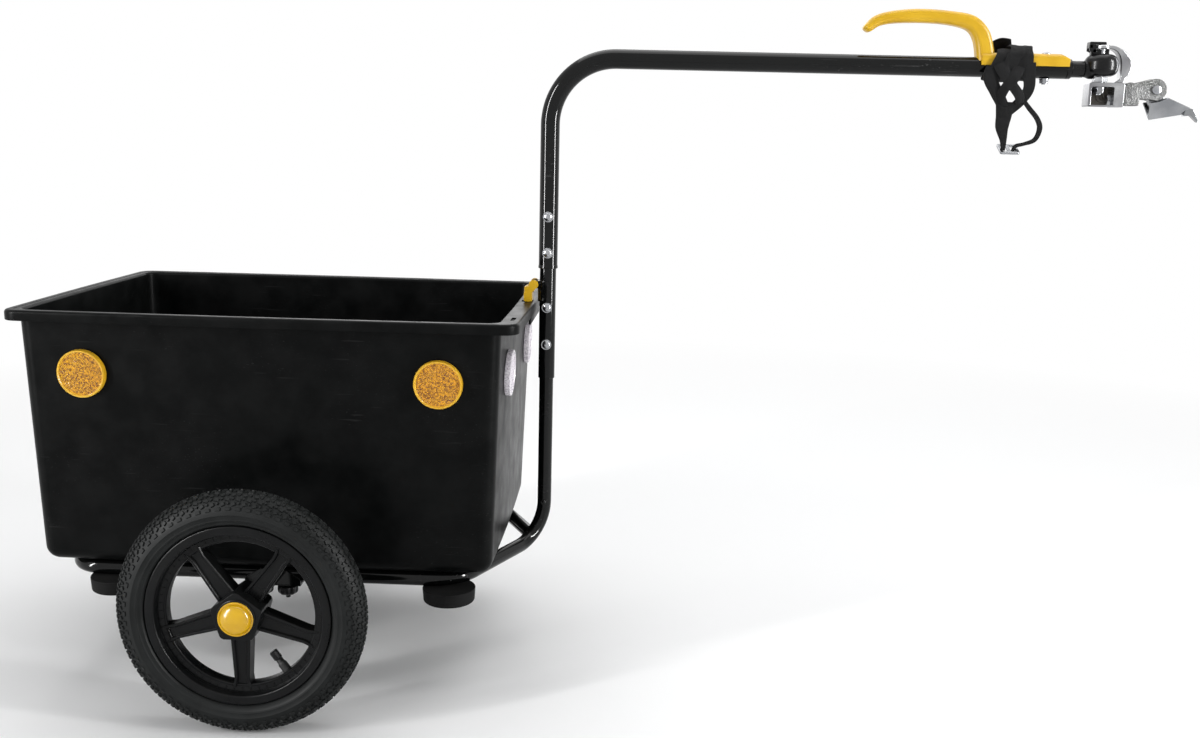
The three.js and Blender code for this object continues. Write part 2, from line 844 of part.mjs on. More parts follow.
for (const [name, x] of [['front_cross_bar', frontBarX], ['rear_cross_bar', rearBarX]]) {
  const barPiece = block(
    [x - barWidth / 2, -railY, railFlatZ - barThickness],
    [x + barWidth / 2, railY, railFlatZ],
  );
  const holes = [-1, 1].map((side) => uprightHole(
    x, side * tubBoltY, railFlatZ, barThickness + overrun, tubBoltDiameter / 2 + gap));
  add(name, barPiece.subtract(joined([rightTubeSpace, leftTubeSpace, ...holes])), blackPaint);
}

// Rubber feet under the rails, each bored for the screw that holds it from below

const footTopZ = railBottomZ - gap;
const footBottomZ = footTopZ - footHeight;
const footScrewHeadZ = footBottomZ + footRecessDepth;

function makeFoot(x, y) {
  const radius = footDiameter / 2;
  const round = arc(radius - footRound, footBottomZ + footRound, footRound, -90, 0, 2);
  const profile = [[0, footBottomZ], ...round, [radius, footTopZ], [0, footTopZ]];
  const body = turned(profile, 'z', [x, y, 0], turnedSides);
  const recess = bar([x, y, footBottomZ - overrun], [x, y, footScrewHeadZ], footRecessDiameter / 2);
  const hole = uprightHole(x, y, footTopZ, footHeight, footScrewDiameter / 2 + gap);
  return body.subtract(recess.add(hole));
}

for (const [end, x] of [['front', frontFootX], ['rear', rearFootX]]) {
  for (const [sideName, side] of Object.entries(sides)) {
    add(`${end}_${sideName}_foot`, makeFoot(x, side * railY), blackRubber);
  }
}

// Axle, its spacer and the brackets under the rails

const axleEnd = (side) => [0, side * axleHalfLength, axleHeight];
add('axle_rod', bar(axleEnd(-1), axleEnd(1), axleDiameter / 2, tubeSides), zinc);

function pipe(from, to, radius, boreRadius) {
  const outer = bar(from, to, radius, tubeSides);
  const way = vec(...to).sub(vec(...from)).normalize().multiplyScalar(overrun);
  const start = vec(...from).sub(way).toArray();
  const end = vec(...to).add(way).toArray();
  return outer.subtract(bar(start, end, boreRadius, tubeSides));
}

const spacerReach = railY - frameRadius - gap;
add('axle_spacer_tube', pipe(
  [0, -spacerReach, axleHeight], [0, spacerReach, axleHeight],
  axleSpacerDiameter / 2, axleSpacerDiameter / 2 - axleTubeWall), blackPaint);

function makeAxleBracket(side) {
  const y = side * railY;
  const top = railBottomZ - gap;
  const inner = y - side * frameRadius;
  const outer = y + side * (frameRadius + gap);
  const far = outer + side * bracketThickness;
  const across = [inner, far].sort((a, b) => a - b);
  const flange = [outer, far].sort((a, b) => a - b);
  const base = block(
    [-bracketLength / 2, across[0], top - bracketThickness],
    [bracketLength / 2, across[1], top],
  );
  const upright = block(
    [-bracketLength / 2, flange[0], top - bracketThickness],
    [bracketLength / 2, flange[1], top + bracketFlangeHeight],
  );
  const sleeveEnd = side * (hubInnerY - gap);
  const sleeve = bar([0, outer, axleHeight], [0, sleeveEnd, axleHeight], axleSleeveDiameter / 2, tubeSides);
  const bore = bar(
    [0, outer - side * overrun, axleHeight], [0, sleeveEnd + side * overrun, axleHeight],
    axleDiameter / 2 + gap, tubeSides);
  const holes = [-1, 1].map((end) => uprightHole(
    (end * knobBoltSpacing) / 2, y, top, bracketThickness + overrun, knobBoltDiameter / 2 + gap));
  return joined([base, upright, sleeve]).subtract(joined([bore, ...holes]));
}

for (const [sideName, side] of Object.entries(sides)) {
  add(`${sideName}_axle_bracket`, makeAxleBracket(side), blackPaint);
}

const knobTopZ = railBottomZ - gap - bracketThickness - gap;
const knobBottomZ = knobTopZ - knobHeight;

// A knob moulded on a bolt, which passes up through bracket and rail into a nut inside the rail.
function makeKnobBolt(x, y) {
  const radius = knobDiameter / 2;
  const neckRadius = knobNeckDiameter / 2;
  const round = arc(radius - knobRound, knobBottomZ + knobRound, knobRound, -90, 0, 2);
  const profile = [
    [0, knobBottomZ], ...round, [radius, knobTopZ - knobRound / 2], [neckRadius, knobTopZ], [0, knobTopZ]];
  const knob = turned(profile, 'z', [x, y, 0], smallSides);
  const nutZ = axleHeight - knobBoltNutDrop;
  const shank = bar(
    [x, y, knobBottomZ - knobBoltTip], [x, y, nutZ + knobBoltNutHeight / 2], knobBoltDiameter / 2, boltSides);
  const nut = bar([x, y, nutZ], [x, y, nutZ + knobBoltNutHeight], knobBoltNutDiameter / 2);
  return joined([knob, shank, nut]);
}

for (const [sideName, side] of Object.entries(sides)) {
  for (const [end, x] of [['front', knobBoltSpacing / 2], ['rear', -knobBoltSpacing / 2]]) {
    add(`${sideName}_${end}_knob_bolt`, makeKnobBolt(x, side * railY), blackPlastic);
  }
}

function makeAxleNut(side) {
  const from = [0, side * axleNutInnerY, axleHeight];
  const to = [0, side * axleNutOuterY, axleHeight];
  const bore = bar(
    [0, side * (axleNutInnerY - overrun), axleHeight], [0, side * (axleNutOuterY + overrun), axleHeight],
    axleDiameter / 2 + gap, tubeSides);
  return bar(from, to, hexRadius(axleNutFlats), 6).subtract(bore);
}

for (const [sideName, side] of Object.entries(sides)) add(`${sideName}_axle_nut`, makeAxleNut(side), zinc);

// Wheels. Each is built about its own middle, with its outer face to -Y, then set on the axle.

const tyreMiddleRadius = tyreDiameter / 2 - tyreWidth / 2;
// Round shapes about the axle: profile pairs are [radius, y].
function wheelTurned(profile, sidesCount = ringSides) {
  return turned(profile, 'y', [0, 0, 0], sidesCount);
}

function makeTyre() {
  const outer = arc(tyreMiddleRadius, 0, tyreWidth / 2, -tyreCutAngle, tyreCutAngle, 8);
  const innerRadius = tyreWidth / 2 - tyreSideThickness;
  const inner = arc(tyreMiddleRadius, 0, innerRadius, tyreCavityAngle, -tyreCavityAngle, 4).map(([r, y]) => [
    Math.min(r, tyreDiameter / 2 - tyreTreadThickness), y]);
  const seat = beadSeatDiameter / 2 + gap;
  const overFlange = rimFlangeDiameter / 2 + gap;
  const beadOuterY = beadSeatWidth / 2;
  const beadInnerY = beadOuterY - tyreSideThickness;
  const bead = [
    [overFlange, beadOuterY], [seat, beadOuterY], [seat, beadInnerY],
    [overFlange + tyreSideThickness, beadInnerY + tyreBeadLean]];
  const farBead = bead.map(([r, y]) => [r, -y]).reverse();
  return wheelTurned([...outer, ...bead, ...inner, ...farBead, outer[0]]);
}

const tubeOuterRadius = tyreWidth / 2 - tyreSideThickness - tubeClearance;
const tubeMiddleRadius = tyreDiameter / 2 - tyreTreadThickness - gap - tubeOuterRadius;
const valveAngle = -54;      // degrees, measured in the wheel's plane from +X towards +Z

function turnedToValve(piece) {
  return piece.rotate([0, -valveAngle, 0]);
}

const valveTopRadius = tubeMiddleRadius - tubeOuterRadius + tubeWall;
const valveEndRadius = rimOpeningDiameter / 2 - valveStemLength;

function makeInnerTube() {
  const ring = (radius) => {
    const circlePoints = arc(tubeMiddleRadius, 0, radius, 0, 360, 8);
    circlePoints[circlePoints.length - 1] = circlePoints[0];
    return wheelTurned(circlePoints, ringSides / 2);
  };
  const stem = bar([valveTopRadius, 0, 0], [valveEndRadius, 0, 0], valveDiameter / 2, boltSides);
  const bore = bar(
    [valveTopRadius + overrun, 0, 0], [valveEndRadius - overrun, 0, 0], valveDiameter / 4, boltSides);
  const hollow = ring(tubeOuterRadius).subtract(ring(tubeOuterRadius - tubeWall));
  return hollow.add(turnedToValve(stem)).subtract(turnedToValve(bore));
}

function makeRim() {
  const seat = beadSeatDiameter / 2;
  const flange = rimFlangeDiameter / 2;
  const well = seat - rimWellDepth;
  const opening = rimOpeningDiameter / 2;
  const half = rimWidth / 2;
  const seatHalf = beadSeatWidth / 2 + gap;
  const wellHalf = beadSeatWidth / 4;
  const side = [
    [well, wellHalf], [seat, wellHalf + rimWellDepth / 2], [seat, seatHalf], [flange, seatHalf],
    [flange, half - rimLipRound / 2], [flange - rimLipRound, half], [opening, half - rimLipRound]];
  const mirrored = side.map(([r, y]) => [r, -y]).reverse();
  const channel = wheelTurned([...side, ...mirrored, side[0]]);
  const hub = bar([0, -hubOuterLength, 0], [0, hubInnerLength, 0], hubCircumDiameter / 2, 5, 0);
  const spokes = [];
  const recesses = [];
  for (let i = 0; i < spokeCount; i += 1) {
    const turn = [0, 90 - (i * 360) / spokeCount, 0];
    const outline = (root, tip, start, end) => [[start, -root], [end, -tip], [end, tip], [start, root]];
    const reach = opening + rimLipRound / 2;
    spokes.push(plate(
      outline(spokeRootWidth / 2, spokeTipWidth / 2, 0, reach), spokeThickness).rotate(turn));
    const from = hubCircumDiameter / 2;
    const rootHalf = spokeRootWidth / 2 - spokeRib;
    const inset = outline(rootHalf, spokeTipWidth / 2 - spokeRib, from, opening - spokeRib);
    const depth = spokeThickness / 2 - spokeRecess;
    for (const face of [-1, 1]) {
      const middle = face * (depth + spokeThickness / 2);
      recesses.push(plate(inset, spokeThickness, middle).rotate(turn));
    }
  }
  const sleeveSpace = bearingBore / 2 + gap + bearingSleeveWall + gap;
  const alongHub = (from, to, radius) => bar([0, from, 0], [0, to, 0], radius, turnedSides);
  const hubOuterEnd = -hubOuterLength - overrun;
  const hubInnerEnd = hubInnerLength + overrun;
  const pocketEnd = -hubOuterLength + hubNutPocketDepth;
  const bearingSpace = bearingDiameter / 2 + gap;
  const bores = [
    alongHub(hubOuterEnd, hubInnerEnd, sleeveSpace),
    alongHub(hubOuterEnd, pocketEnd, hubNutPocketDiameter / 2),
    alongHub(pocketEnd - gap, pocketEnd + bearingWidth + gap, bearingSpace),
    alongHub(hubInnerEnd, hubInnerLength - bearingWidth - gap, bearingSpace),
    turnedToValve(bar([opening - rimLipRound, 0, 0], [flange, 0, 0], valveDiameter / 2 + gap, boltSides)),
  ];
  return joined([channel, hub, ...spokes]).subtract(joined([...recesses, ...bores]));
}

function makeBearing(from) {
  const inner = bearingBore / 2 + gap;
  const outer = bearingDiameter / 2;
  const to = from + bearingWidth;
  return wheelTurned([[inner, from], [outer, from], [outer, to], [inner, to], [inner, from]], turnedSides);
}

function makeHubCap() {
  const radius = hubCapDiameter / 2;
  const base = -hubOuterLength - gap;
  const inner = radius - hubCapWall;
  const skirtRadius = hubNutPocketDiameter / 2 - gap;
  const skirtInner = skirtRadius - hubCapSkirtWall;
  const dome = [];
  const hollow = [];
  const domeSteps = 3;
  for (let i = 0; i <= domeSteps; i += 1) {
    const angle = (i * Math.PI) / 2 / domeSteps;
    dome.push([radius * Math.cos(angle), base - hubCapWall - (hubCapHeight - hubCapWall) * Math.sin(angle)]);
  }
  for (let i = domeSteps; i >= 0; i -= 1) {
    const angle = (i * Math.PI) / 2 / domeSteps;
    const reach = Math.min(inner, skirtInner) * Math.cos(angle);
    hollow.push([reach, base - hubCapWall - (hubCapHeight - hubCapWall * 2) * Math.sin(angle)]);
  }
  dome[domeSteps][0] = 0;
  hollow[0][0] = 0;
  const skirtEnd = base + hubCapSkirt;
  return wheelTurned([
    ...dome, ...hollow, [skirtInner, skirtEnd], [skirtRadius, skirtEnd], [skirtRadius, base],
    [radius, base], dome[0]].reverse(), turnedSides);
}

// The two ball bearings of a hub and the distance sleeve between them.
function makeBearings() {
  const outerStart = -hubOuterLength + hubNutPocketDepth;
  const innerStart = hubInnerLength - bearingWidth;
  const bore = bearingBore / 2 + gap;
  const sleeveEdge = bore + bearingSleeveWall;
  const from = outerStart + bearingWidth - gap;
  const to = innerStart + gap;
  const distanceSleeve = wheelTurned(
    [[bore, from], [sleeveEdge, from], [sleeveEdge, to], [bore, to], [bore, from]], turnedSides);
  return joined([makeBearing(outerStart), makeBearing(innerStart), distanceSleeve]);
}

const tyre = makeTyre();
const innerTube = makeInnerTube();
const rim = makeRim();
const bearings = makeBearings();
const hubCap = makeHubCap();

for (const [sideName, side] of Object.entries(sides)) {
  const wheel = new THREE.Group();
  wheel.position.set(0, (side * wheelTrack) / 2, axleHeight);
  wheel.rotation.z = side > 0 ? Math.PI : 0;
  add(`${sideName}_tyre`, tyre, tyreRubber, wheel);
  add(`${sideName}_inner_tube`, innerTube, blackRubber, wheel);
  add(`${sideName}_rim`, rim, blackPlastic, wheel);
  add(`${sideName}_wheel_bearings`, bearings, bareSteel, wheel);
  add(`${sideName}_hub_cap`, hubCap, yellowPlastic, wheel);
  trailer.add(wheel);
}

// Mast sleeve and drawbar

function uprightRun(bottom, top) {
  return new Run([straight(vec(mastX, 0, bottom), vec(mastX, 0, top))]);
}

const sleeveHoles = [lowerBoltZ, upperBoltZ, drawbarLowerBoltZ, drawbarUpperBoltZ].map((z) => boltHoleAcross(
  mastX, z, mastBoltDiameter / 2 + gap));
const sleeve = tubeAlong(uprightRun(sleeveBottomZ, sleeveTopZ), sleeveRadius, steelWall);
add('mast_sleeve', sleeve.subtract(joined(sleeveHoles)), blackPaint);

const drawbarFoot = vec(mastX, 0, drawbarBottomZ);
const drawbarCorner = vec(mastX, 0, drawbarZ);
const drawbarFront = vec(drawbarFrontX, 0, drawbarZ);
const drawbarBend = new Bend(drawbarFoot, drawbarCorner, drawbarFront, drawbarBendRadius);
const drawbarRun = new Run([
  straight(drawbarFoot, drawbarBend.start),
  { curve: drawbarBend, steps: bendSteps * 2 },
  straight(drawbarBend.end, drawbarFront),
]);
const drawbarHoles = [
  boltHoleAcross(mastX, drawbarLowerBoltZ, mastBoltDiameter / 2 + gap),
  boltHoleAcross(mastX, drawbarUpperBoltZ, mastBoltDiameter / 2 + gap),
  uprightHole(handleBoltX, 0, drawbarZ, drawbarTubeDiameter, handleBoltDiameter / 2 + gap),
];
const drawbar = tubeAlong(drawbarRun, drawbarRadius, steelWall);
add('drawbar_tube', drawbar.subtract(joined(drawbarHoles)), blackPaint);

// Bolts across the mast: a domed head on the right, a flanged dome nut on the left

const domeShares = [[0, 0], [1, 0], [0.8, 0.65], [0, 1]];

const mastBoltPlaces = [
  ['lower_sleeve_bolt', lowerBoltZ, sleeveRadius],
  ['upper_sleeve_bolt', upperBoltZ, sleeveRadius],
  ['lower_drawbar_bolt', drawbarLowerBoltZ, drawbarRadius],
  ['upper_drawbar_bolt', drawbarUpperBoltZ, drawbarRadius]];

function domeAcross(x, y, z, way, radius, height) {
  const profile = domeShares.map(([out, up]) => [radius * out, height * up]);
  const dome = turned(profile, 'y', [0, 0, 0], smallSides);
  return (way < 0 ? dome.rotate([180, 0, 0]) : dome).translate([x, y, z]);
}

// Each bolt and the dome nut on its left end are joined.
function makeMastBolt(z, seat) {
  const y = seat + gap;
  const shank = bar([mastX, -y - gap, z], [mastX, y + gap, z], mastBoltDiameter / 2, boltSides);
  const head = domeAcross(mastX, -y, z, -1, mastBoltHeadDiameter / 2, mastBoltHeadHeight);
  const flange = bar([mastX, y, z], [mastX, y + mastNutFlangeHeight, z], mastNutFlangeDiameter / 2);
  const hexStart = y + mastNutFlangeHeight / 2;
  const hex = bar([mastX, hexStart, z], [mastX, y + mastNutHeight, z], hexRadius(mastNutFlats), 6);
  const dome = domeAcross(mastX, y + mastNutHeight - gap, z, 1, mastNutFlats / 2, mastNutDomeHeight);
  return joined([shank, head, flange, hex, dome]);
}

for (const [name, z, seat] of mastBoltPlaces) add(name, makeMastBolt(z, seat), zinc);

function makeMastRivet() {
  const seat = frameRadius + gap;
  const end = seat + gap;
  const shank = bar([mastX, -end, mastRivetZ], [mastX, end, mastRivetZ], mastRivetDiameter / 2, boltSides);
  const heads = [-1, 1].map((way) => domeAcross(
    mastX, way * seat, mastRivetZ, way, mastRivetHeadDiameter / 2, mastRivetHeadHeight));
  return joined([shank, ...heads]);
}

add('mast_rivet', makeMastRivet(), blackPaint);

// Tub clip: a lever on a small bracket that snaps round the mast sleeve

const clipEarY = clipKnuckleWidth / 2 + gap;

function clipPinHole(clearance) {
  const radius = clipPinDiameter / 2 + clearance;
  return bar([clipPinX, -clipWidth, clipPinZ], [clipPinX, clipWidth, clipPinZ], radius, boltSides);
}

function makeClipBracket() {
  const inner = sleeveRadius + gap;
  const outer = inner + clipBracketThickness;
  const bottom = clipPinZ - clipBracketDrop;
  const top = bottom + clipBracketHeight;
  const wrap = [
    ...arc(mastX, 0, outer, 180 - clipWrapAngle, 180 + clipWrapAngle, 12),
    ...arc(mastX, 0, inner, 180 + clipWrapAngle, 180 - clipWrapAngle, 12),
  ].map(([x, y]) => new THREE.Vector2(x, y));
  const settings = { depth: top - bottom, bevelEnabled: false };
  const geometry = new THREE.ExtrudeGeometry(new THREE.Shape(wrap), settings);
  geometry.translate(0, 0, bottom);
  const ears = [-1, 1].map((side) => {
    const middle = side * (clipEarY + clipBracketThickness / 2);
    const attachX = mastX - Math.sqrt(inner ** 2 - clipEarY ** 2);
    const outline = [
      ...arc(clipPinX, clipPinZ, clipEarReach, 90, 270, 6),
      [attachX, clipPinZ - clipEarReach], [attachX, clipPinZ + clipEarReach]];
    return plate(outline, clipBracketThickness, middle);
  });
  return solid(geometry).add(joined(ears)).subtract(clipPinHole(gap));
}

add('clip_bracket', makeClipBracket(), blackPaint);

function makeClipPin() {
  const seat = clipEarY + clipBracketThickness + gap;
  const end = seat + gap;
  const shank = bar([clipPinX, -end, clipPinZ], [clipPinX, end, clipPinZ], clipPinDiameter / 2, boltSides);
  const heads = [-1, 1].map((way) => bar(
    [clipPinX, way * seat, clipPinZ], [clipPinX, way * (seat + clipPinHead), clipPinZ],
    clipPinDiameter / 2 + clipPinHead / 2, boltSides));
  return joined([shank, ...heads]);
}

add('clip_pin', makeClipPin(), zinc);

function makeTubClip() {
  const shoulderZ = clipPinZ - clipShoulderDrop;
  const footZ = tubRimTopZ + gap;
  const knuckle = plate([
    ...arc(clipPinX, clipPinZ, clipKnuckleRadius, 180, -60, 6),
    [clipLegFrontX, shoulderZ - overrun], [clipLegRearX, shoulderZ - overrun],
    [clipLegRearX, clipPinZ - clipKnuckleRadius],
  ], clipKnuckleWidth);
  const leg = block([clipLegRearX, -clipWidth / 2, footZ], [clipLegFrontX, clipWidth / 2, shoulderZ]);
  const nib = block(
    [clipNibX - clipNibLength / 2, -clipNibWidth / 2, footZ - clipNibDepth],
    [clipNibX + clipNibLength / 2, clipNibWidth / 2, footZ + clipNibDepth]);
  return joined([knuckle, leg, nib]).subtract(clipPinHole(runGap));
}

add('tub_clip', makeTubClip(), yellowPlastic);

// Reflectors, set on the tub's walls

function makeReflector() {
  const radius = reflectorDiameter / 2;
  const rimInner = radius - reflectorRimWidth;
  const face = reflectorThickness - reflectorRimHeight;
  return turned([
    [0, 0], [radius, 0], [radius, reflectorThickness], [rimInner, reflectorThickness],
    [rimInner, face], [0, face]], 'z', [0, 0, 0], turnedSides);
}

const reflector = makeReflector();

function wallAt(z) {
  return tubSection(z, evenAllowance(0));
}

// How far, in degrees, a bowed wall is turned at a share of its span.
function bowTurn(bulge, share, span) {
  return THREE.MathUtils.radToDeg(Math.atan((bulge * Math.PI * Math.cos(Math.PI * share)) / span));
}

// The wall's lean, and a reflector laid flat on it.
function sideReflector(side, x) {
  const low = wallAt(tubFloorZ);
  const high = wallAt(tubWallTopZ);
  const lean = THREE.MathUtils.radToDeg(Math.atan((high.half - low.half) / (tubWallTopZ - tubFloorZ)));
  const section = wallAt(reflectorZ);
  const span = section.front - section.rear - 2 * section.corner;
  const share = (x - section.rear - section.corner) / span;
  const bow = tubSideBulge * Math.sin(Math.PI * share);
  const turn = bowTurn(tubSideBulge, share, span);
  const seat = section.half + bow + reflectorSeatGap;
  return reflector.rotate([-side * (90 + lean), 0, 0]).rotate([0, 0, side * turn])
    .translate([x, side * seat, reflectorZ]);
}

function endReflector(end, y) {
  const low = wallAt(tubFloorZ);
  const high = wallAt(tubWallTopZ);
  const run = end > 0 ? high.front - low.front : low.rear - high.rear;
  const lean = THREE.MathUtils.radToDeg(Math.atan(run / (tubWallTopZ - tubFloorZ)));
  const section = wallAt(reflectorZ);
  const span = 2 * (section.half - section.corner);
  const share = (y + section.half - section.corner) / span;
  const bow = tubEndBulge * Math.sin(Math.PI * share);
  const turn = bowTurn(tubEndBulge, share, span);
  const seat = (end > 0 ? section.front : -section.rear) + bow + reflectorSeatGap;
  return reflector.rotate([0, end * (90 + lean), 0]).rotate([0, 0, -end * turn])
    .translate([end * seat, y, reflectorZ]);
}

for (const [sideName, side] of Object.entries(sides)) {
  add(`${sideName}_front_side_reflector`, sideReflector(side, reflectorFrontX), amberLens);
  add(`${sideName}_rear_side_reflector`, sideReflector(side, reflectorRearX), amberLens);
  add(`${sideName}_front_reflector`, endReflector(1, side * frontReflectorY), clearLens);
  add(`${sideName}_rear_reflector`, endReflector(-1, side * rearReflectorY), redLens);
}

// Pull handle: a saddle on the tube, a leg and a grip that runs back over the drawbar

// Above the saddle's top a height is a share of the grip's rise, below it a share of the saddle's depth.
function gripHeight(up) {
  const saddleDepth = saddleTopZ - drawbarZ - saddleEdgeRise;
  return saddleTopZ + up * (up < 0 ? saddleDepth : handleTopZ - saddleTopZ);
}

function gripEdge(shares) {
  return new THREE.CatmullRomCurve3(shares.map(([along, up]) => vec(
    handleEndX + along * (handleToeX - handleEndX), 0, gripHeight(up))));
}

// The grip and leg: rounded sections that stand between the upper and the lower edge.
function makeGrip() {
  const upper = gripEdge(gripUpperShares);
  const lower = gripEdge(gripLowerShares);
  const steps = gripUpperShares.length * 2;
  const rings = [];
  for (let i = 0; i <= steps; i += 1) {
    const top = upper.getPoint(i / steps);
    const low = lower.getPoint(i / steps);
    const middle = top.clone().add(low).multiplyScalar(0.5);
    const outwards = top.clone().sub(middle);
    const halfThickness = outwards.length();
    outwards.normalize();
    const halfWidth = handleWidth / 2;
    const round = Math.min(handleEdgeRound, halfThickness);
    const [u, v] = [halfThickness - round, halfWidth - round];
    const section = [
      ...arc(u, v, round, 0, 90, 2), ...arc(-u, v, round, 90, 180, 2),
      ...arc(-u, -v, round, 180, 270, 2), ...arc(u, -v, round, 270, 360, 2)];
    rings.push(section.map(([out, across]) => vec(0, across, 0).add(middle).addScaledVector(outwards, out)));
  }
  return loft(rings);
}

function makeSaddle() {
  const half = drawbarRadius + gap + saddleSideWall;
  const low = drawbarZ + saddleEdgeRise;
  const outline = [
    [-half, low], [half, low], ...arc(half - saddleRound, saddleTopZ - saddleRound, saddleRound, 0, 90, 3),
    ...arc(-half + saddleRound, saddleTopZ - saddleRound, saddleRound, 90, 180, 3)];
  const shell = loft([saddleRearX, saddleFrontX].map((x) => outline.map(([y, z]) => vec(x, y, z))));
  const slopeX = saddleFrontX - saddleSlopeLength;
  const slopeEndX = saddleFrontX + overrun;
  const slopeEndZ = saddleTopZ - (saddleSlopeDrop * (slopeEndX - slopeX)) / saddleSlopeLength;
  const above = saddleTopZ + overrun;
  const slope = plate([
    [slopeX, saddleTopZ], [slopeEndX, slopeEndZ], [slopeEndX, above], [slopeX, above],
  ], half * 2 + overrun);
  return shell.subtract(slope);
}

function makeHandle() {
  const tubeSpace = bar(
    [saddleRearX - handleWidth, 0, drawbarZ], [saddleFrontX + overrun, 0, drawbarZ],
    drawbarRadius + gap, tubeSides, 0.5);
  const boltHole = uprightHole(handleBoltX, 0, saddleTopZ, drawbarRadius, handleBoltDiameter / 2 + gap);
  return makeGrip().add(makeSaddle()).subtract(tubeSpace.add(boltHole));
}

add('handle', makeHandle(), yellowPlastic);

// A hexagon nut with a flange on top of it, threaded on an upright bolt. The two are joined.
function nutBelow(x, topZ, flats, height, flangeRadius, flangeHeight) {
  const flange = bar([x, 0, topZ - flangeHeight], [x, 0, topZ], flangeRadius);
  const hex = bar([x, 0, topZ - height], [x, 0, topZ - flangeHeight / 2], hexRadius(flats), 6);
  return flange.add(hex);
}

function makeHandleBolt() {
  const headZ = saddleTopZ + gap;
  const nutZ = drawbarZ - drawbarRadius - gap;
  const headRadius = handleBoltHeadDiameter / 2;
  const shank = bar(
    [handleBoltX, 0, nutZ - handleNutHeight - handleBoltTip], [handleBoltX, 0, headZ + gap],
    handleBoltDiameter / 2, boltSides);
  const head = bar(
    [handleBoltX, 0, headZ], [handleBoltX, 0, headZ + handleBoltHeadHeight],
    headRadius, smallSides, 0, headRadius * boltHeadTopShare);
  const nut = nutBelow(
    handleBoltX, nutZ, handleNutFlats, handleNutHeight, handleNutFlangeDiameter / 2, handleNutFlangeHeight);
  return joined([shank, head, nut]);
}

add('handle_bolt', makeHandleBolt(), zinc);

// Coupling neck: a plug in the drawbar's end that the coupling head turns in

function makeNeck() {
  const plugRadius = drawbarRadius - steelWall - gap;
  const start = drawbarFrontX - neckPlugLength;
  const plug = bar(
    [start, 0, drawbarZ], [drawbarFrontX + gap, 0, drawbarZ], plugRadius * neckPlugEaseShare, tubeSides, 0.5);
  const collar = bar(
    [drawbarFrontX + gap, 0, drawbarZ], [drawbarFrontX + gap + neckFlangeLength, 0, drawbarZ],
    drawbarRadius, tubeSides, 0.5, drawbarRadius - gap);
  const noseX = drawbarFrontX + neckFlangeLength;
  const nose = bar([noseX, 0, drawbarZ], [neckFrontX, 0, drawbarZ], neckDiameter / 2, tubeSides, 0.5);
  const bore = bar(
    [neckFrontX - spindleLength - gap, 0, drawbarZ], [neckFrontX + overrun, 0, drawbarZ],
    neckBore / 2 + runGap, tubeSides, 0.5);
  const boltHole = uprightHole(handleBoltX, 0, drawbarZ, drawbarTubeDiameter, handleBoltDiameter / 2 + gap);
  return joined([plug, collar, nose]).subtract(bore.add(boltHole));
}

add('coupling_neck', makeNeck(), blackPlastic);

function makeCouplingHead() {
  const radius = headDiameter / 2;
  const low = headZ - headHeight / 2;
  const high = headZ + headHeight / 2;
  const profile = [
    [0, low], ...arc(radius - headRound, low + headRound, headRound, -90, 0, 3),
    ...arc(radius - headRound, high - headRound, headRound, 0, 90, 3), [0, high]];
  const body = turned(profile, 'z', [headX, 0, 0], turnedSides);
  const boss = block(
    [headX - headBossRearReach, -headBossWidth / 2, high - headRound / 2],
    [headX + headBossFrontReach, headBossWidth / 2, headBossTopZ]);
  const end = latchWidth / 2;
  const trunnion = bar(
    [trunnionX, -end, trunnionZ], [trunnionX, end, trunnionZ], trunnionDiameter / 2, boltSides);
  const spindle = bar(
    [neckFrontX - spindleLength, 0, drawbarZ], [headX - radius + headRound, 0, drawbarZ],
    neckBore / 2, tubeSides, 0.5);
  const bore = bar(
    [headX, 0, headZ - headHeight], [headX, 0, headZ + headHeight], kingpinDiameter / 2 + runGap, turnedSides);
  return joined([body, boss, trunnion, spindle]).subtract(bore);
}

add('coupling_head', makeCouplingHead(), blackPlastic);

// Latch: a hook that pivots on the head and holds the yoke's tip down

function makeLatch() {
  const barPiece = block(
    [latchRearX, -latchWidth / 2, latchTopZ - latchBarThickness], [latchFrontX, latchWidth / 2, latchTopZ]);
  const leg = block(
    [latchRearX, -latchWidth / 2, trunnionZ], [latchRearX + latchLegThickness, latchWidth / 2, latchTopZ]);
  const cheeks = [-1, 1].map((side) => {
    const inner = headBossWidth / 2 + gap;
    const middle = (side * (inner + latchWidth / 2)) / 2;
    const outline = [
      ...arc(trunnionX, trunnionZ, latchCheekRadius, -150, 60, 5),
      [latchRearX, headBossTopZ], [latchRearX, trunnionZ]];
    return plate(outline, latchWidth / 2 - inner, middle);
  });
  const boreRadius = trunnionDiameter / 2 + runGap;
  const bore = bar(
    [trunnionX, -latchWidth, trunnionZ], [trunnionX, latchWidth, trunnionZ], boreRadius, boltSides);
  const bossHalf = headBossWidth / 2 + gap;
  const bossSpace = block(
    [latchRearX - overrun, -bossHalf, trunnionZ - latchCheekRadius - overrun],
    [latchFrontX + overrun, bossHalf, headBossTopZ + gap]);
  const bossCornerReach = Math.hypot(trunnionX - headX + headBossRearReach, headBossTopZ - trunnionZ);
  const swingRadius = (bossCornerReach + runGap) / Math.cos(Math.PI / turnedSides);
  const swing = bar(
    [trunnionX, -bossHalf, trunnionZ], [trunnionX, bossHalf, trunnionZ], swingRadius, turnedSides);
  return joined([barPiece, leg, ...cheeks]).subtract(joined([bore, bossSpace, swing]));
}

add('hitch_latch', makeLatch(), blackPlastic);

// Hitch yoke: an arm that reaches over the head, in one piece with a bracket below it

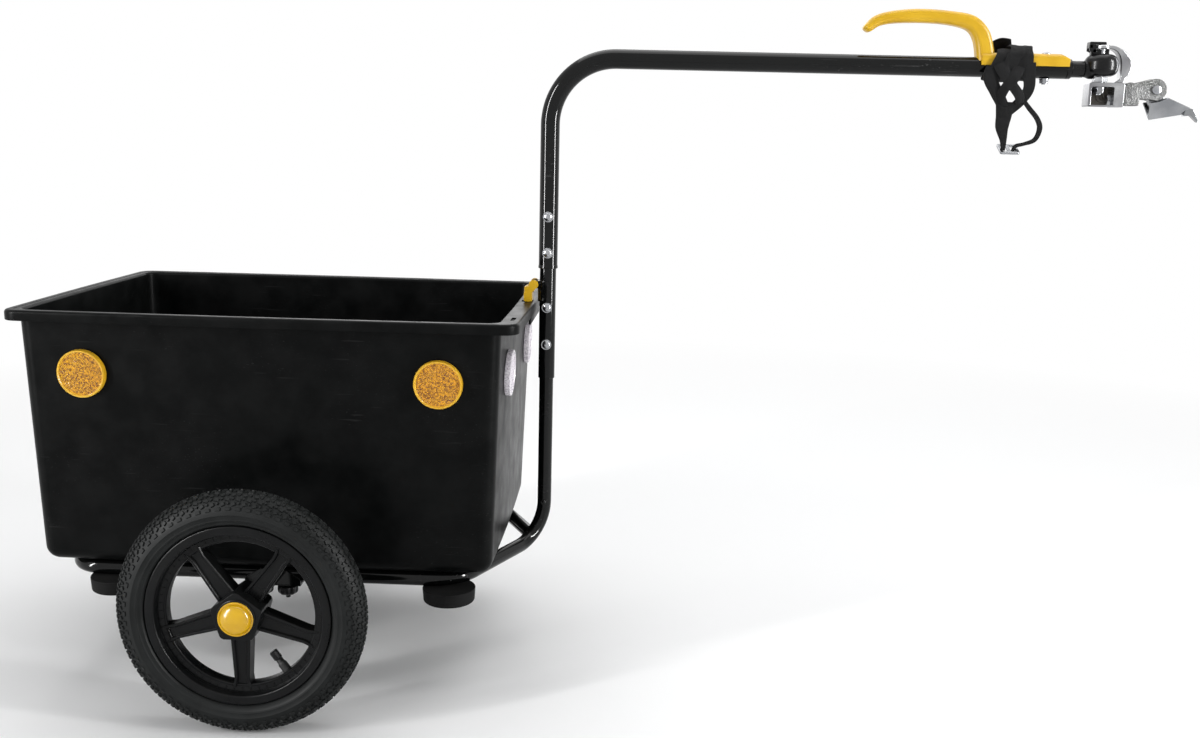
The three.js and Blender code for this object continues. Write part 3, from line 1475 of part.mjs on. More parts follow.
function makeYoke() {
  const tipLow = headBossTopZ + gap;
  const tipHigh = tipLow + yokeTipThickness;
  const tip = bar([headX, 0, tipLow], [headX, 0, tipHigh], yokeTipRadius, turnedSides);
  const shoulder = headZ - yokeShoulderDrop;
  const outerRise = yokeOuterTopZ - shoulder;
  const innerRise = tipLow + gap - shoulder;
  const outline = [];
  const armSteps = 7;
  const leastReach = yokeTipRadius / 2;
  for (let i = 0; i <= armSteps; i += 1) {
    const angle = (i * Math.PI) / 2 / armSteps;
    const x = headX + Math.max(yokeOuterReach * Math.cos(angle), leastReach);
    outline.push([x, Math.min(shoulder + outerRise * Math.sin(angle), tipHigh)]);
  }
  for (let i = armSteps; i >= 0; i -= 1) {
    const angle = (i * Math.PI) / 2 / armSteps;
    const x = headX + Math.max(yokeInnerReach * Math.cos(angle) ** yokeInnerSquareness, leastReach);
    outline.push([x, shoulder + innerRise * Math.sin(angle)]);
  }
  const wallInnerX = bracketFrontX - bracketFrontWall;
  outline.push([headX + yokeInnerReach, bracketTopZ + yokeFootHeight]);
  outline.push([wallInnerX, bracketTopZ - gap]);
  outline.push([bracketFrontX, bracketTopZ - gap]);
  outline.push([bracketFrontX + yokeFootReach, bracketTopZ + yokeFootHeight]);
  const arm = plate(outline, yokeWidth);
  const half = bracketWidth / 2;
  const shell = block([bracketRearX, -half, bracketBottomZ], [bracketFrontX, half, bracketTopZ]);
  const recess = block(
    [bracketRearX + bracketRearWall, -bracketWidth, bracketBottomZ - overrun],
    [wallInnerX, bracketWidth, bracketTopZ - bracketTopWall]);
  const pinHole = uprightHole(headX, 0, bracketTopZ, latchTopZ - bracketTopZ, kingpinDiameter / 2 + gap);
  const boltHole = bar(
    [wallInnerX - overrun, 0, knuckleBoltZ], [bracketFrontX + overrun, 0, knuckleBoltZ],
    knuckleBoltDiameter / 2 + gap, boltSides);
  return joined([tip, arm, shell]).subtract(joined([recess, pinHole, boltHole]));
}

add('hitch_yoke', makeYoke(), zinc);

function makeKingpin() {
  const bottom = bracketTopZ - bracketTopWall - gap - kingpinNutHeight - kingpinThreadBeyond;
  const top = headBossTopZ + gap + yokeTipThickness;
  const shank = bar([headX, 0, bottom], [headX, 0, top], kingpinDiameter / 2, boltSides);
  const collar = bar(
    [headX, 0, bracketTopZ + gap], [headX, 0, headZ - headHeight / 2 - kingpinCollarClearance],
    hexRadius(kingpinCollarFlats), 6, 0.5);
  const nut = nutBelow(
    headX, bracketTopZ - bracketTopWall - gap, kingpinNutFlats, kingpinNutHeight,
    kingpinNutFlangeDiameter / 2, kingpinNutFlangeHeight);
  return joined([shank, collar, nut]);
}

add('kingpin', makeKingpin(), bareSteel);

// Knuckle: a cast block on the bracket's front wall, with a fork for the jaw's pin

function makeKnuckle() {
  const rear = bracketFrontX + gap;
  const half = knuckleBlockWidth / 2;
  const base = block([rear, -half, knuckleBlockBottomZ], [knuckleBlockFrontX, half, knuckleBlockTopZ]);
  const radius = knuckleEyeDiameter / 2;
  const rootX = knuckleBlockFrontX - overrun;
  const outline = [
    [rootX, knucklePinZ - radius * eyeRootShares.lower],
    [knucklePinX - radius * eyeRootShares.heelAlong, knucklePinZ - radius * eyeRootShares.heelDown],
    ...arc(knucklePinX, knucklePinZ, radius, -110, 110, 12),
    [rootX, knucklePinZ + radius * eyeRootShares.upper]];
  const eye = plate(outline, knuckleWidth);
  const fork = block(
    [knuckleBlockFrontX + knuckleForkSet, -knuckleForkGap / 2, knucklePinZ - knuckleEyeDiameter],
    [knucklePinX + knuckleEyeDiameter, knuckleForkGap / 2, knucklePinZ + knuckleEyeDiameter]);
  const hole = bar(
    [knucklePinX, -knuckleWidth, knucklePinZ], [knucklePinX, knuckleWidth, knucklePinZ],
    knucklePinDiameter / 2 + gap, boltSides);
  const threadEndX = bracketFrontX - bracketFrontWall + knuckleBoltReach + gap;
  const threadRadius = knuckleBoltDiameter / 2 + gap;
  const threadStart = rear - overrun;
  const thread = bar([threadStart, 0, knuckleBoltZ], [threadEndX, 0, knuckleBoltZ], threadRadius, boltSides);
  return base.add(eye).subtract(joined([fork, hole, thread]));
}

add('hinge_knuckle', makeKnuckle(), castMetal);

function makeKnucklePin() {
  const seat = knuckleWidth / 2 + gap;
  const end = seat + gap;
  const shank = bar(
    [knucklePinX, -end, knucklePinZ], [knucklePinX, end, knucklePinZ], knucklePinDiameter / 2, boltSides);
  const heads = [-1, 1].map((way) => domeAcross(
    knucklePinX, way * seat, knucklePinZ, way, knucklePinHeadDiameter / 2, knucklePinHeadHeight));
  return joined([shank, ...heads]);
}

add('knuckle_pin', makeKnucklePin(), zinc);

function makeKnuckleBolt() {
  const seatX = bracketFrontX - bracketFrontWall - gap;
  const endX = seatX + knuckleBoltReach;
  const [y, z] = [0, knuckleBoltZ];
  const head = bar([seatX - knuckleBoltHead, y, z], [seatX, y, z], hexRadius(knuckleBoltFlats), 6, 0.5);
  const shank = bar([seatX - gap, y, z], [endX, y, z], knuckleBoltDiameter / 2, boltSides);
  return head.add(shank);
}

add('knuckle_bolt', makeKnuckleBolt(), bareSteel);

// Clamp jaw: a V of sheet steel with a tongue between the fork's ears

// The height of the fold line that the two wings meet on.
function jawFoldZ(x) {
  const share = (x - jawRearFootX) / (jawFrontFootX - jawRearFootX);
  return jawRearFootZ + (jawFrontFootZ - jawRearFootZ) * share;
}

const jawSlope = jawHalfWidth / (jawCrownZ - jawFoldZ(jawCrownX));

// A solid wedge that stands on the fold line. The first two points of its outline lie on that line.
function jawWedge(outline) {
  const ringOn = (side) => outline.map(([x, z]) => vec(x, side * jawSlope * (z - jawFoldZ(x)), z));
  return loft([ringOn(-1), ringOn(1)]);
}

function makeJaw() {
  const wings = jawWedge([
    [jawRearFootX, jawRearFootZ], [jawFrontFootX, jawFrontFootZ], [jawFrontTopX, jawFrontTopZ],
    [jawCrownX, jawCrownZ], [jawSeatX, jawSeatZ], [jawRearTopX, jawRearTopZ]]);
  const lift = (jawSheet * Math.hypot(1, jawSlope)) / jawSlope;
  const [startX, endX] = [jawRearTopX - overrun, jawFrontFootX + overrun];
  const highZ = jawCrownZ + overrun;
  const trough = jawWedge([
    [startX, jawFoldZ(startX)], [endX, jawFoldZ(endX)], [endX, highZ], [startX, highZ],
  ]).translate([0, 0, lift]);
  const tongueWidth = knuckleForkGap - gap * 2;
  const tongue = plate([
    [jawRearFootX + jawSheet, jawRearFootZ + jawSheet], [jawTongueEndX, jawFoldZ(jawTongueEndX) + jawSheet],
    [jawCrownX, jawCrownZ - jawSheet * 2],
    ...arc(knucklePinX, knucklePinZ, jawTongueRadius, -20, 200, 10)], tongueWidth);
  const tail = plate([
    [jawFrontFootX - jawTailThickness, jawFoldZ(jawFrontFootX) - jawSheet / 2],
    [jawTailX, jawTailZ - jawTailThickness / 2], [jawTailX, jawTailZ + jawTailThickness / 2],
    [jawFrontFootX, jawFrontFootZ + jawTailThickness]],
  jawTailWidth);
  const hole = bar(
    [knucklePinX, -knuckleWidth, knucklePinZ], [knucklePinX, knuckleWidth, knucklePinZ],
    knucklePinDiameter / 2 + runGap, turnedSides);
  return joined([wings.subtract(trough), tongue, tail]).subtract(hole);
}

add('clamp_jaw', makeJaw(), bareSteel);

// Safety strap: webbing wound round the tube and the handle's saddle, with a hanging tail and loop

function strapBand(x, topZ, lean) {
  const low = drawbarZ - drawbarRadius - gap - strapThickness;
  const centreZ = (topZ + low) / 2;
  const halfZ = (topZ - low) / 2;
  const u = strapBandHalfWidth - strapBandRound;
  const v = halfZ - strapBandRound;
  const outline = (inset) => [
    ...arc(u, v, strapBandRound - inset, 0, 90, 4), ...arc(-u, v, strapBandRound - inset, 90, 180, 4),
    ...arc(-u, -v, strapBandRound - inset, 180, 270, 4), ...arc(u, -v, strapBandRound - inset, 270, 360, 4),
  ].map(([across, up]) => new THREE.Vector2(across, up));
  const shape = new THREE.Shape(outline(0));
  shape.holes.push(new THREE.Path(outline(strapThickness)));
  const geometry = new THREE.ExtrudeGeometry(shape, { depth: strapWidth, bevelEnabled: false });
  geometry.translate(0, 0, -strapWidth / 2);
  geometry.rotateX(Math.PI / 2);
  geometry.rotateZ(Math.PI / 2);
  const slant = Math.tan(THREE.MathUtils.degToRad(lean));
  geometry.applyMatrix4(new THREE.Matrix4().makeShear(0, 0, 0, 0, slant, 0));
  geometry.translate(x, 0, centreZ);
  return solid(geometry);
}

function makeStrap() {
  const bands = [
    strapBand(strapRearBandX, strapRearBandTopZ, strapRearBandLean),
    strapBand(strapFrontBandX, strapFrontBandTopZ, strapFrontBandLean)];
  const y = -strapBandHalfWidth;
  const knot = plate([
    [strapKnotRearX, strapKnotTopZ], [strapKnotHeelX, strapKnotHeelZ], [strapKnotFootX, strapKnotFootZ],
    [strapKnotFrontX, strapKnotToeZ], [strapKnotFrontX, strapKnotTopZ], [strapKnotFootX, strapKnotPeakZ],
  ], strapKnotThickness, y);
  const endHalf = strapTailEndWidth / 2;
  const tail = plate([
    [strapKnotHeelX, strapKnotHeelZ + strapThickness],
    [strapTailEndX - strapTailWidth * tailBellyShares.rear, strapTailMiddleZ],
    [strapTailEndX - endHalf, buckleZ + buckleThickness], [strapTailEndX - endHalf, strapTailEndZ],
    [strapTailEndX + endHalf, strapTailEndZ], [strapTailEndX + endHalf, buckleZ + buckleThickness],
    [strapTailEndX + strapTailWidth * tailBellyShares.front, strapTailMiddleZ],
    [strapKnotFootX, strapKnotFootZ + strapThickness]], strapThickness, y);
  const loopRun = new Run([{
    curve: new THREE.CatmullRomCurve3([
      vec(strapLoopStartX, y, strapLoopStartZ),
      vec(strapLoopFarX, y, strapLoopFarZ),
      vec(strapLoopTurnX, y, strapLoopTurnZ),
      vec(strapLoopLowX, y, strapLoopLowZ),
      vec(strapLoopEndX, y, buckleZ + buckleThickness / 2),
      vec(strapLoopEndX, y, strapTailEndZ),
    ]),
    steps: 15,
  }]);
  const loop = stripAlong(loopRun, strapLoopThickness, strapLoopWidth);
  return joined([...bands, knot, tail, loop]);
}

add('safety_strap', makeStrap(), webbing);

function makeBuckle() {
  const y = -strapBandHalfWidth;
  const top = buckleZ + buckleThickness / 2;
  const low = buckleZ - buckleThickness / 2;
  const halfLength = buckleLength / 2;
  const halfWidth = buckleWidth / 2;
  const body = block(
    [buckleX - halfLength, y - halfWidth, low], [buckleX + halfLength, y + halfWidth, top]);
  const slotHalf = halfWidth - buckleBar;
  const slots = [-1, 1].map((end) => {
    const ends = [(end * buckleBar) / 2, end * (halfLength - buckleBar)].sort((a, b) => a - b);
    return block(
      [buckleX + ends[0], y - slotHalf, low - overrun], [buckleX + ends[1], y + slotHalf, top + overrun]);
  });
  return body.subtract(joined(slots));
}

add('strap_buckle', makeBuckle(), zinc);

// Stand the trailer on the ground with its outer box centred over the origin.

const bounds = new THREE.Box3().setFromObject(trailer);
trailer.position.set(-(bounds.min.x + bounds.max.x) / 2, -(bounds.min.y + bounds.max.y) / 2, -bounds.min.z);
trailer.name = 'cargo_bike_trailer';

export default trailer;
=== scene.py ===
# %% [markdown]
# A cargo bike trailer: a moulded tub on a tube frame, two spoked wheels, a high drawbar and a swivelling
# hitch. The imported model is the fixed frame. Each visible piece is modelled again here, finer than the
# faceted solids, in the same place. Lengths are in millimetres, measured from the axle along X, from the
# centre plane along Y and from the ground along Z, and one matrix carries them into the frame.

# %% Load the frame
import math

import bmesh
import bpy
from mathutils import Matrix, Vector, noise


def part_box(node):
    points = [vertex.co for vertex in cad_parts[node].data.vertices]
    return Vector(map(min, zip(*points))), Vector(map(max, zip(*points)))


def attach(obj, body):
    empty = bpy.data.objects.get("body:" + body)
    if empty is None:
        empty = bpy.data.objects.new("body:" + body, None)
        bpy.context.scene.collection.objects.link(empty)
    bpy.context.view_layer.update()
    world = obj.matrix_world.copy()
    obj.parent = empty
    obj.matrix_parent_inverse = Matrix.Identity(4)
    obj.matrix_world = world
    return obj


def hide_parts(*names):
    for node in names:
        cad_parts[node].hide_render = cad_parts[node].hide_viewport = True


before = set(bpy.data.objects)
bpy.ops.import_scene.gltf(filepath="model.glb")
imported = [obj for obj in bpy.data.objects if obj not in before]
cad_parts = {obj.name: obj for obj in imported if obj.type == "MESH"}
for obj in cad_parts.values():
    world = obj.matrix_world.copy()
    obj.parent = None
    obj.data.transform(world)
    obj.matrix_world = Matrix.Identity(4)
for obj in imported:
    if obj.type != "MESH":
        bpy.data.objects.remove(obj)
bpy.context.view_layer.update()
wheel_low, wheel_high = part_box("right_tyre")
axle_x = (wheel_low.x + wheel_high.x) / 2
MILLIMETRE = 0.001
PLACE = Matrix.Translation((axle_x, 0, 0)) @ Matrix.Scale(MILLIMETRE, 4)

# %% [markdown]
# The camera stands on the trailer's right side, a little above the drawbar, and looks slightly down and
# towards the tub. Its place, turn and focal length were fitted to edges of the real tubes and wheel.

# %% Camera
PHOTO_WIDTH = 1200
FOCAL_PIXELS = 1227
YAW, PITCH, ROLL = -0.03654, 0.19217, 0.02442
SENSOR = 36
STANDPOINT = Vector((464.1, -1652.2, 715.6))

ahead = Vector((math.sin(YAW) * math.cos(PITCH), math.cos(YAW) * math.cos(PITCH), -math.sin(PITCH)))
level_side = Vector((math.cos(YAW), -math.sin(YAW), 0))
level_up = level_side.cross(ahead)
side = level_side * math.cos(ROLL) + level_up * math.sin(ROLL)
above = level_up * math.cos(ROLL) - level_side * math.sin(ROLL)

camera_data = bpy.data.cameras.new("camera")
camera_data.sensor_width = SENSOR
camera_data.lens = FOCAL_PIXELS / PHOTO_WIDTH * SENSOR
camera = bpy.data.objects.new("camera", camera_data)
turned = Matrix((side, above, -ahead)).transposed().to_4x4()
camera.matrix_world = Matrix.Translation(PLACE @ STANDPOINT) @ turned
bpy.context.scene.collection.objects.link(camera)
bpy.context.scene.camera = camera
print("lens", round(camera_data.lens, 2), "mm")

# %% [markdown]
# Finishes. Every material mixes the same few effects: a fine grain from the mould or the casting, thin
# scratches, and dust that settles on upward faces. Each effect is a node group with named
# sockets, built once, and every material places it with its own values.

# %% A small helper for node trees
def place_node(tree, kind, inputs=(), **settings):
    node = tree.nodes.new(kind)
    for name, value in settings.items():
        setattr(node, name, value)
    for key, value in dict(inputs).items():
        if isinstance(value, bpy.types.NodeSocket):
            tree.links.new(value, node.inputs[key])
        else:
            node.inputs[key].default_value = value
    return node


def new_group(name, numbers, results):
    """An empty group with a Position socket, number sockets and number results."""
    group = bpy.data.node_groups.new(name, "ShaderNodeTree")
    group.interface.new_socket("Position", in_out="INPUT", socket_type="NodeSocketVector")
    for number, value in numbers.items():
        socket = group.interface.new_socket(number, in_out="INPUT", socket_type="NodeSocketFloat")
        socket.default_value = value
    for result in results:
        group.interface.new_socket(result, in_out="OUTPUT", socket_type="NodeSocketFloat")
    inside = group.nodes.new("NodeGroupInput")
    outside = group.nodes.new("NodeGroupOutput")
    return group, inside.outputs, outside.inputs


def maths(tree, operation, first, second=0.0):
    return place_node(tree, "ShaderNodeMath", {0: first, 1: second}, operation=operation).outputs[0]


def remap(tree, value, low, high, to_low=0.0, to_high=1.0):
    return place_node(tree, "ShaderNodeMapRange", {
        "Value": value, "From Min": low, "From Max": high, "To Min": to_low, "To Max": to_high}).outputs[0]


def speckle(tree, position, scale, detail=3.0, roughness=0.55):
    return place_node(tree, "ShaderNodeTexNoise", {
        "Vector": position, "Scale": scale, "Detail": detail, "Roughness": roughness}).outputs[0]


# %% [markdown]
# Moulded plastic takes a fine grain from its mould and a casting a coarse one from the sand: both are noise.
# Scratches are stretched noise, cut off near its top. Dust is slow noise that favours upward faces. Webbing
# is two crossed waves, and a lens gets painted shade: darker spots on its prism facets stand for their
# shade. All of them read object coordinates, so that they stay on a piece when it moves.

# %% Grain, scratches, dust, weave and painted prism shade
grain, given, result = new_group("surface_grain", {"Scale": 900.0}, ["Height", "Cloud"])
grain.links.new(speckle(grain, given["Position"], given["Scale"]), result["Height"])
cloud_scale = maths(grain, "MULTIPLY", given["Scale"], 0.02)
grain.links.new(speckle(grain, given["Position"], cloud_scale, 4.0), result["Cloud"])

scratches, given, result = new_group("thin_scratches", {"Scale": 1.0, "Amount": 0.5}, ["Mask"])
strokes = None
for turn, stretch in (((0.3, 0.2, 0.5), (16, 420, 300)), ((1.1, 0.7, -0.4), (300, 22, 460))):
    lines = place_node(scratches, "ShaderNodeMapping", {
        "Vector": given["Position"], "Rotation": turn, "Scale": stretch})
    stroke = speckle(scratches, lines.outputs[0], given["Scale"], 1.0)
    stroke = remap(scratches, stroke, 0.69, 0.74)
    strokes = stroke if strokes is None else maths(scratches, "MAXIMUM", strokes, stroke)
patches = remap(scratches, speckle(scratches, given["Position"], 9.0, 2.0), 0.5, 0.66)
strokes = maths(scratches, "MULTIPLY", maths(scratches, "MULTIPLY", strokes, patches), given["Amount"])
scratches.links.new(strokes, result["Mask"])

dust, given, result = new_group("settled_dust", {"Scale": 14.0, "Amount": 0.3}, ["Mask"])
normal = place_node(dust, "ShaderNodeNewGeometry").outputs["Normal"]
upward = place_node(dust, "ShaderNodeSeparateXYZ", {0: normal})
facing = remap(dust, upward.outputs["Z"], -0.2, 0.9, 0.25, 1.0)
film = remap(dust, speckle(dust, given["Position"], given["Scale"], 6.0, 0.65), 0.42, 0.75)
film = maths(dust, "MULTIPLY", maths(dust, "MULTIPLY", film, facing), given["Amount"])
dust.links.new(film, result["Mask"])

weave, given, result = new_group("webbing_weave", {"Scale": 1.0}, ["Height", "Mask"])
ribs = []
for turn in ((0, 0, 0.79), (0, 1.57, -0.79)):
    threads = place_node(weave, "ShaderNodeMapping", {"Vector": given["Position"], "Rotation": turn})
    ribs.append(place_node(weave, "ShaderNodeTexWave", {
        "Vector": threads.outputs[0], "Scale": maths(weave, "MULTIPLY", given["Scale"], 170.0),
        "Distortion": 0.6, "Detail": 1.0}).outputs[1])
crossing = maths(weave, "MULTIPLY", ribs[0], ribs[1])
weave.links.new(crossing, result["Height"])
weave.links.new(remap(weave, crossing, 0.2, 0.8), result["Mask"])

# Painted shade: darker Voronoi spots stand for the shade of a lens's prism facets.
facet_shade, given, result = new_group("prism_facet_shade", {"Scale": 640.0, "Contrast": 2.0}, ["Mask"])
spots = place_node(facet_shade, "ShaderNodeTexVoronoi", {
    "Vector": given["Position"], "Scale": given["Scale"], "Randomness": 0.35})
shade = place_node(facet_shade, "ShaderNodeSeparateColor", {0: spots.outputs["Color"]}).outputs[0]
facet_shade.links.new(maths(facet_shade, "POWER", shade, given["Contrast"]), result["Mask"])
print("groups:", [group.name for group in (grain, scratches, dust, weave, facet_shade)])

# %% [markdown]
# A finish starts from two close colours in slow clouds, because no real surface is one flat tone. Painted
# shade on prism facets comes first, and then the effects are laid over it in the order in which they happen:
# scratches, then dust. Scratches and dust also dull the gloss, because a worn spot scatters light, and the
# grain becomes relief.

# %% A finish made from the groups
def linear(red, green, blue):
    """A colour as it looks on screen, in 0 to 255, turned into the renderer's linear values."""
    shares = [c / 255 for c in (red, green, blue)]
    return tuple(((s + 0.055) / 1.055) ** 2.4 if s > 0.04 else s / 12.92 for s in shares) + (1.0,)


FINISHES = {}


def blend_colour(tree, mask, under, over):
    mixer = place_node(tree, "ShaderNodeMix", {0: mask}, data_type="RGBA")
    for socket, value in ((mixer.inputs[6], under), (mixer.inputs[7], over)):
        if isinstance(value, bpy.types.NodeSocket):
            tree.links.new(value, socket)
        else:
            socket.default_value = value
    return mixer.outputs[2]


def make_finish(name, colour, tint, roughness, grain_scale=900.0, bump=0.1, depth=0.0002, scratched=0.4,
                dusty=0.2, rough_spread=0.12, scratch_colour=None, dust_colour=(120, 118, 112), woven=0.0,
                prisms=None, **shader):
    """One material: base colours, then painted prism shade, scratches, dust and weave, and values for the
    shader.
    """
    material = bpy.data.materials.new(name)
    material.use_nodes = True
    tree = material.node_tree
    surface = tree.nodes["Principled BSDF"]
    position = place_node(tree, "ShaderNodeTexCoord").outputs["Object"]

    def effect(group, **values):
        node = place_node(tree, "ShaderNodeGroup", node_tree=group)
        tree.links.new(position, node.inputs["Position"])
        for key, value in values.items():
            node.inputs[key].default_value = value
        return node.outputs

    texture = effect(grain, Scale=grain_scale)
    clouds = remap(tree, texture["Cloud"], 0.35, 0.65)
    base = blend_colour(tree, clouds, linear(*colour), linear(*tint))
    # Painted shade on a lens: its prism facets get a darker colour in spots.
    if prisms:
        dark = effect(facet_shade, Contrast=prisms[0])["Mask"]
        base = blend_colour(tree, dark, base, linear(*prisms[1]))
    marks = effect(scratches, Amount=scratched)["Mask"]
    base = blend_colour(tree, marks, base, linear(*(scratch_colour or tint)))
    film = effect(dust, Amount=dusty)["Mask"]
    base = blend_colour(tree, film, base, linear(*dust_colour))
    height = texture["Height"]
    if woven:
        cloth = effect(weave, Scale=woven)
        base = blend_colour(tree, cloth["Mask"], base, linear(*tint))
        height = maths(tree, "ADD", maths(tree, "MULTIPLY", height, 0.3), cloth["Height"])
    tree.links.new(base, surface.inputs["Base Color"])
    spread = rough_spread / 2
    rough = remap(tree, texture["Cloud"], 0.3, 0.7, roughness - spread, roughness + spread)
    rough = maths(tree, "ADD", rough, maths(tree, "MULTIPLY", maths(tree, "MAXIMUM", film, marks), 0.25))
    tree.links.new(rough, surface.inputs["Roughness"])
    scored = maths(tree, "SUBTRACT", height, maths(tree, "MULTIPLY", marks, 0.8))
    relief = place_node(tree, "ShaderNodeBump", {"Height": scored, "Strength": bump, "Distance": depth})
    tree.links.new(relief.outputs[0], surface.inputs["Normal"])
    for key, value in shader.items():
        surface.inputs[key.replace("_", " ")].default_value = value
    FINISHES[name] = material


# %% [markdown]
# The tub is moulded in black with a fine satin grain and a few scuffs. The tubes carry gloss black powder
# coat. The handle, hub caps and clip are satin yellow plastic. The bolts are bright zinc, the hitch's arm
# and bracket bright metal, the knuckle a grey casting and the jaw pressed sheet.

# %% The finishes of this trailer
make_finish("tub_plastic", (6, 7, 7), (12, 13, 13), 0.34, 1400.0, 0.14, scratched=0.28, dusty=0.03,
            dust_colour=(90, 90, 88), scratch_colour=(58, 58, 58), Specular_IOR_Level=0.06)
make_finish("frame_paint", (5, 6, 6), (9, 10, 10), 0.09, 160.0, 0.012, scratched=0.3, dusty=0.015,
            scratch_colour=(110, 110, 110), rough_spread=0.04, Specular_IOR_Level=0.22)
make_finish("foot_rubber", (10, 10, 10), (20, 20, 20), 0.72, 1100.0, 0.3, dusty=0.12,
            dust_colour=(66, 66, 64), Specular_IOR_Level=0.1)
make_finish("tyre_rubber", (12, 14, 14), (22, 24, 24), 0.55, 1500.0, 0.25, scratched=0.2, dusty=0.12,
            dust_colour=(52, 56, 53), Specular_IOR_Level=0.16)
make_finish("tube_rubber", (10, 10, 10), (18, 18, 18), 0.6, 900.0, 0.2, dusty=0.1, dust_colour=(50, 50, 50))
make_finish("rim_plastic", (8, 9, 10), (14, 15, 16), 0.3, 1200.0, 0.14, scratched=0.3, dusty=0.04,
            Specular_IOR_Level=0.14)
make_finish("knob_plastic", (8, 8, 9), (15, 15, 16), 0.24, 1200.0, 0.12, scratched=0.3, dusty=0.04,
            Specular_IOR_Level=0.2)
make_finish("yellow_plastic", (204, 158, 10), (219, 174, 24), 0.34, 1300.0, 0.14, scratched=0.5, dusty=0.08,
            scratch_colour=(150, 108, 14), dust_colour=(150, 116, 30), Specular_IOR_Level=0.4)
# Painted light: the amber lens glows a little through its emission, and its darker spots are painted facet
# shade.
make_finish("amber_lens", (224, 158, 10), (244, 190, 34), 0.12, 260.0, 0.1, scratched=0.2, dusty=0.02,
            prisms=(1.3, (104, 56, 4)), Coat_Weight=0.6, Coat_Roughness=0.05,
            Emission_Color=linear(180, 104, 6), Emission_Strength=0.1)
make_finish("cap_plastic", (204, 156, 8), (220, 174, 22), 0.2, 1300.0, 0.08, scratched=0.1, dusty=0.06,
            scratch_colour=(150, 108, 14), dust_colour=(140, 108, 30))
make_finish("amber_rim", (226, 172, 34), (234, 186, 54), 0.25, 800.0, 0.1, dusty=0.04)
# Painted shade: the clear lens's darker spots stand for the shade of its prism facets.
make_finish("clear_lens", (214, 208, 214), (238, 234, 238), 0.12, 260.0, 0.1, scratched=0.2, dusty=0.02,
            prisms=(1.4, (172, 164, 176)), Coat_Weight=0.6, Coat_Roughness=0.05)
# Painted light: the red lens glows a little through its emission, and its darker spots are painted facet
# shade.
make_finish("red_lens", (158, 14, 12), (184, 26, 20), 0.16, 260.0, 0.1, scratched=0.2, dusty=0.02,
            prisms=(1.8, (70, 4, 4)), Coat_Weight=0.6, Coat_Roughness=0.05,
            Emission_Color=linear(120, 6, 4), Emission_Strength=0.15)
make_finish("zinc_plate", (145, 147, 151), (166, 167, 169), 0.2, 1600.0, 0.08, scratched=0.5,
            scratch_colour=(150, 150, 152), dusty=0.05, Metallic=1.0)
make_finish("yoke_metal", (131, 131, 134), (172, 173, 174), 0.22, 900.0, 0.3, scratched=0.8, dusty=0.1,
            scratch_colour=(112, 112, 114), dust_colour=(90, 88, 84), rough_spread=0.2, Metallic=1.0)
make_finish("cast_metal", (79, 80, 79), (123, 123, 123), 0.4, 620.0, 1.0, 0.0009, scratched=0.4, dusty=0.2,
            rough_spread=0.25, dust_colour=(64, 62, 58), Metallic=0.9)
# Painted shade: this dark steel stands for the shade in the hitch bracket's recess, on the web there.
make_finish("recess_shade_steel", (52, 50, 47), (92, 89, 84), 0.5, 600.0, 0.6, 0.0005, scratched=0.5, dusty=0.1,
            scratch_colour=(150, 148, 144), dust_colour=(60, 52, 44), Metallic=0.7)
make_finish("bare_steel", (127, 129, 132), (157, 158, 160), 0.22, 1100.0, 0.14, scratched=0.9,
            scratch_colour=(104, 104, 106), dusty=0.06, Metallic=1.0)
make_finish("strap_webbing", (8, 8, 9), (22, 22, 23), 0.8, 2600.0, 0.9, 0.0008, scratched=0.0, dusty=0.03,
            dust_colour=(60, 60, 60), woven=2.0, Specular_IOR_Level=0.1, Sheen_Weight=0.1,
            Sheen_Roughness=0.5)
print(len(FINISHES), "finishes")

# %% [markdown]
# Shaping starts with lines, as a drawing does. An arc and a bent line give outlines with rounded corners, as
# a tube bender or a milling cutter leaves them, and a flowing line passes through points. All lengths are
# in millimetres.

# %% Lines and outlines
def arc(u, v, radius, start, end, steps):
    """Points of an arc as (u, v) pairs, angles in degrees."""
    angles = [math.radians(start + (end - start) * i / steps) for i in range(steps + 1)]
    return [(u + radius * math.cos(a), v + radius * math.sin(a)) for a in angles]


def bent(corners, radius, steps=10, closed=False):
    """A line of points through corners, each rounded to a radius."""
    corners = [Vector(c).to_3d() for c in corners]
    count = len(corners)
    line = [] if closed else [corners[0]]
    for i in range(0 if closed else 1, count if closed else count - 1):
        before, corner, after = corners[i - 1], corners[i], corners[(i + 1) % count]
        inward, outward = (corner - before).normalized(), (after - corner).normalized()
        turn = inward.angle(outward)
        if turn < 0.001:
            continue
        size = radius[i] if isinstance(radius, (list, tuple)) else radius
        start = corner - inward * size * math.tan(turn / 2)
        towards = (outward - inward * outward.dot(inward)).normalized()
        for k in range(steps + 1):
            a = turn * k / steps
            line.append(start + inward * size * math.sin(a) + towards * size * (1 - math.cos(a)))
    return line if closed else line + [corners[-1]]


def flowing(points, steps=6):
    """A smooth line through points."""
    points = [Vector(p) for p in points]
    reach = [points[0] * 2 - points[1]] + points + [points[-1] * 2 - points[-2]]
    line = []
    for a, b, c, d in zip(reach, reach[1:], reach[2:], reach[3:]):
        before, here, after = ((q - p).length ** 0.5 for p, q in ((a, b), (b, c), (c, d)))
        leave = ((b - a) / before - (c - a) / (before + here) + (c - b) / here) * here
        arrive = ((c - b) / here - (d - b) / (here + after) + (d - c) / after) * here
        for k in range(steps):
            s = k / steps
            line.append(b * (2 * s**3 - 3 * s**2 + 1) + leave * (s**3 - 2 * s**2 + s)
                        + c * (3 * s**2 - 2 * s**3) + arrive * (s**3 - s**2))
    return line + [points[-1]]


# %% [markdown]
# A section is carried along a line on frames. Each frame turns on from the one before by the least angle,
# so that the section doesn't twist.

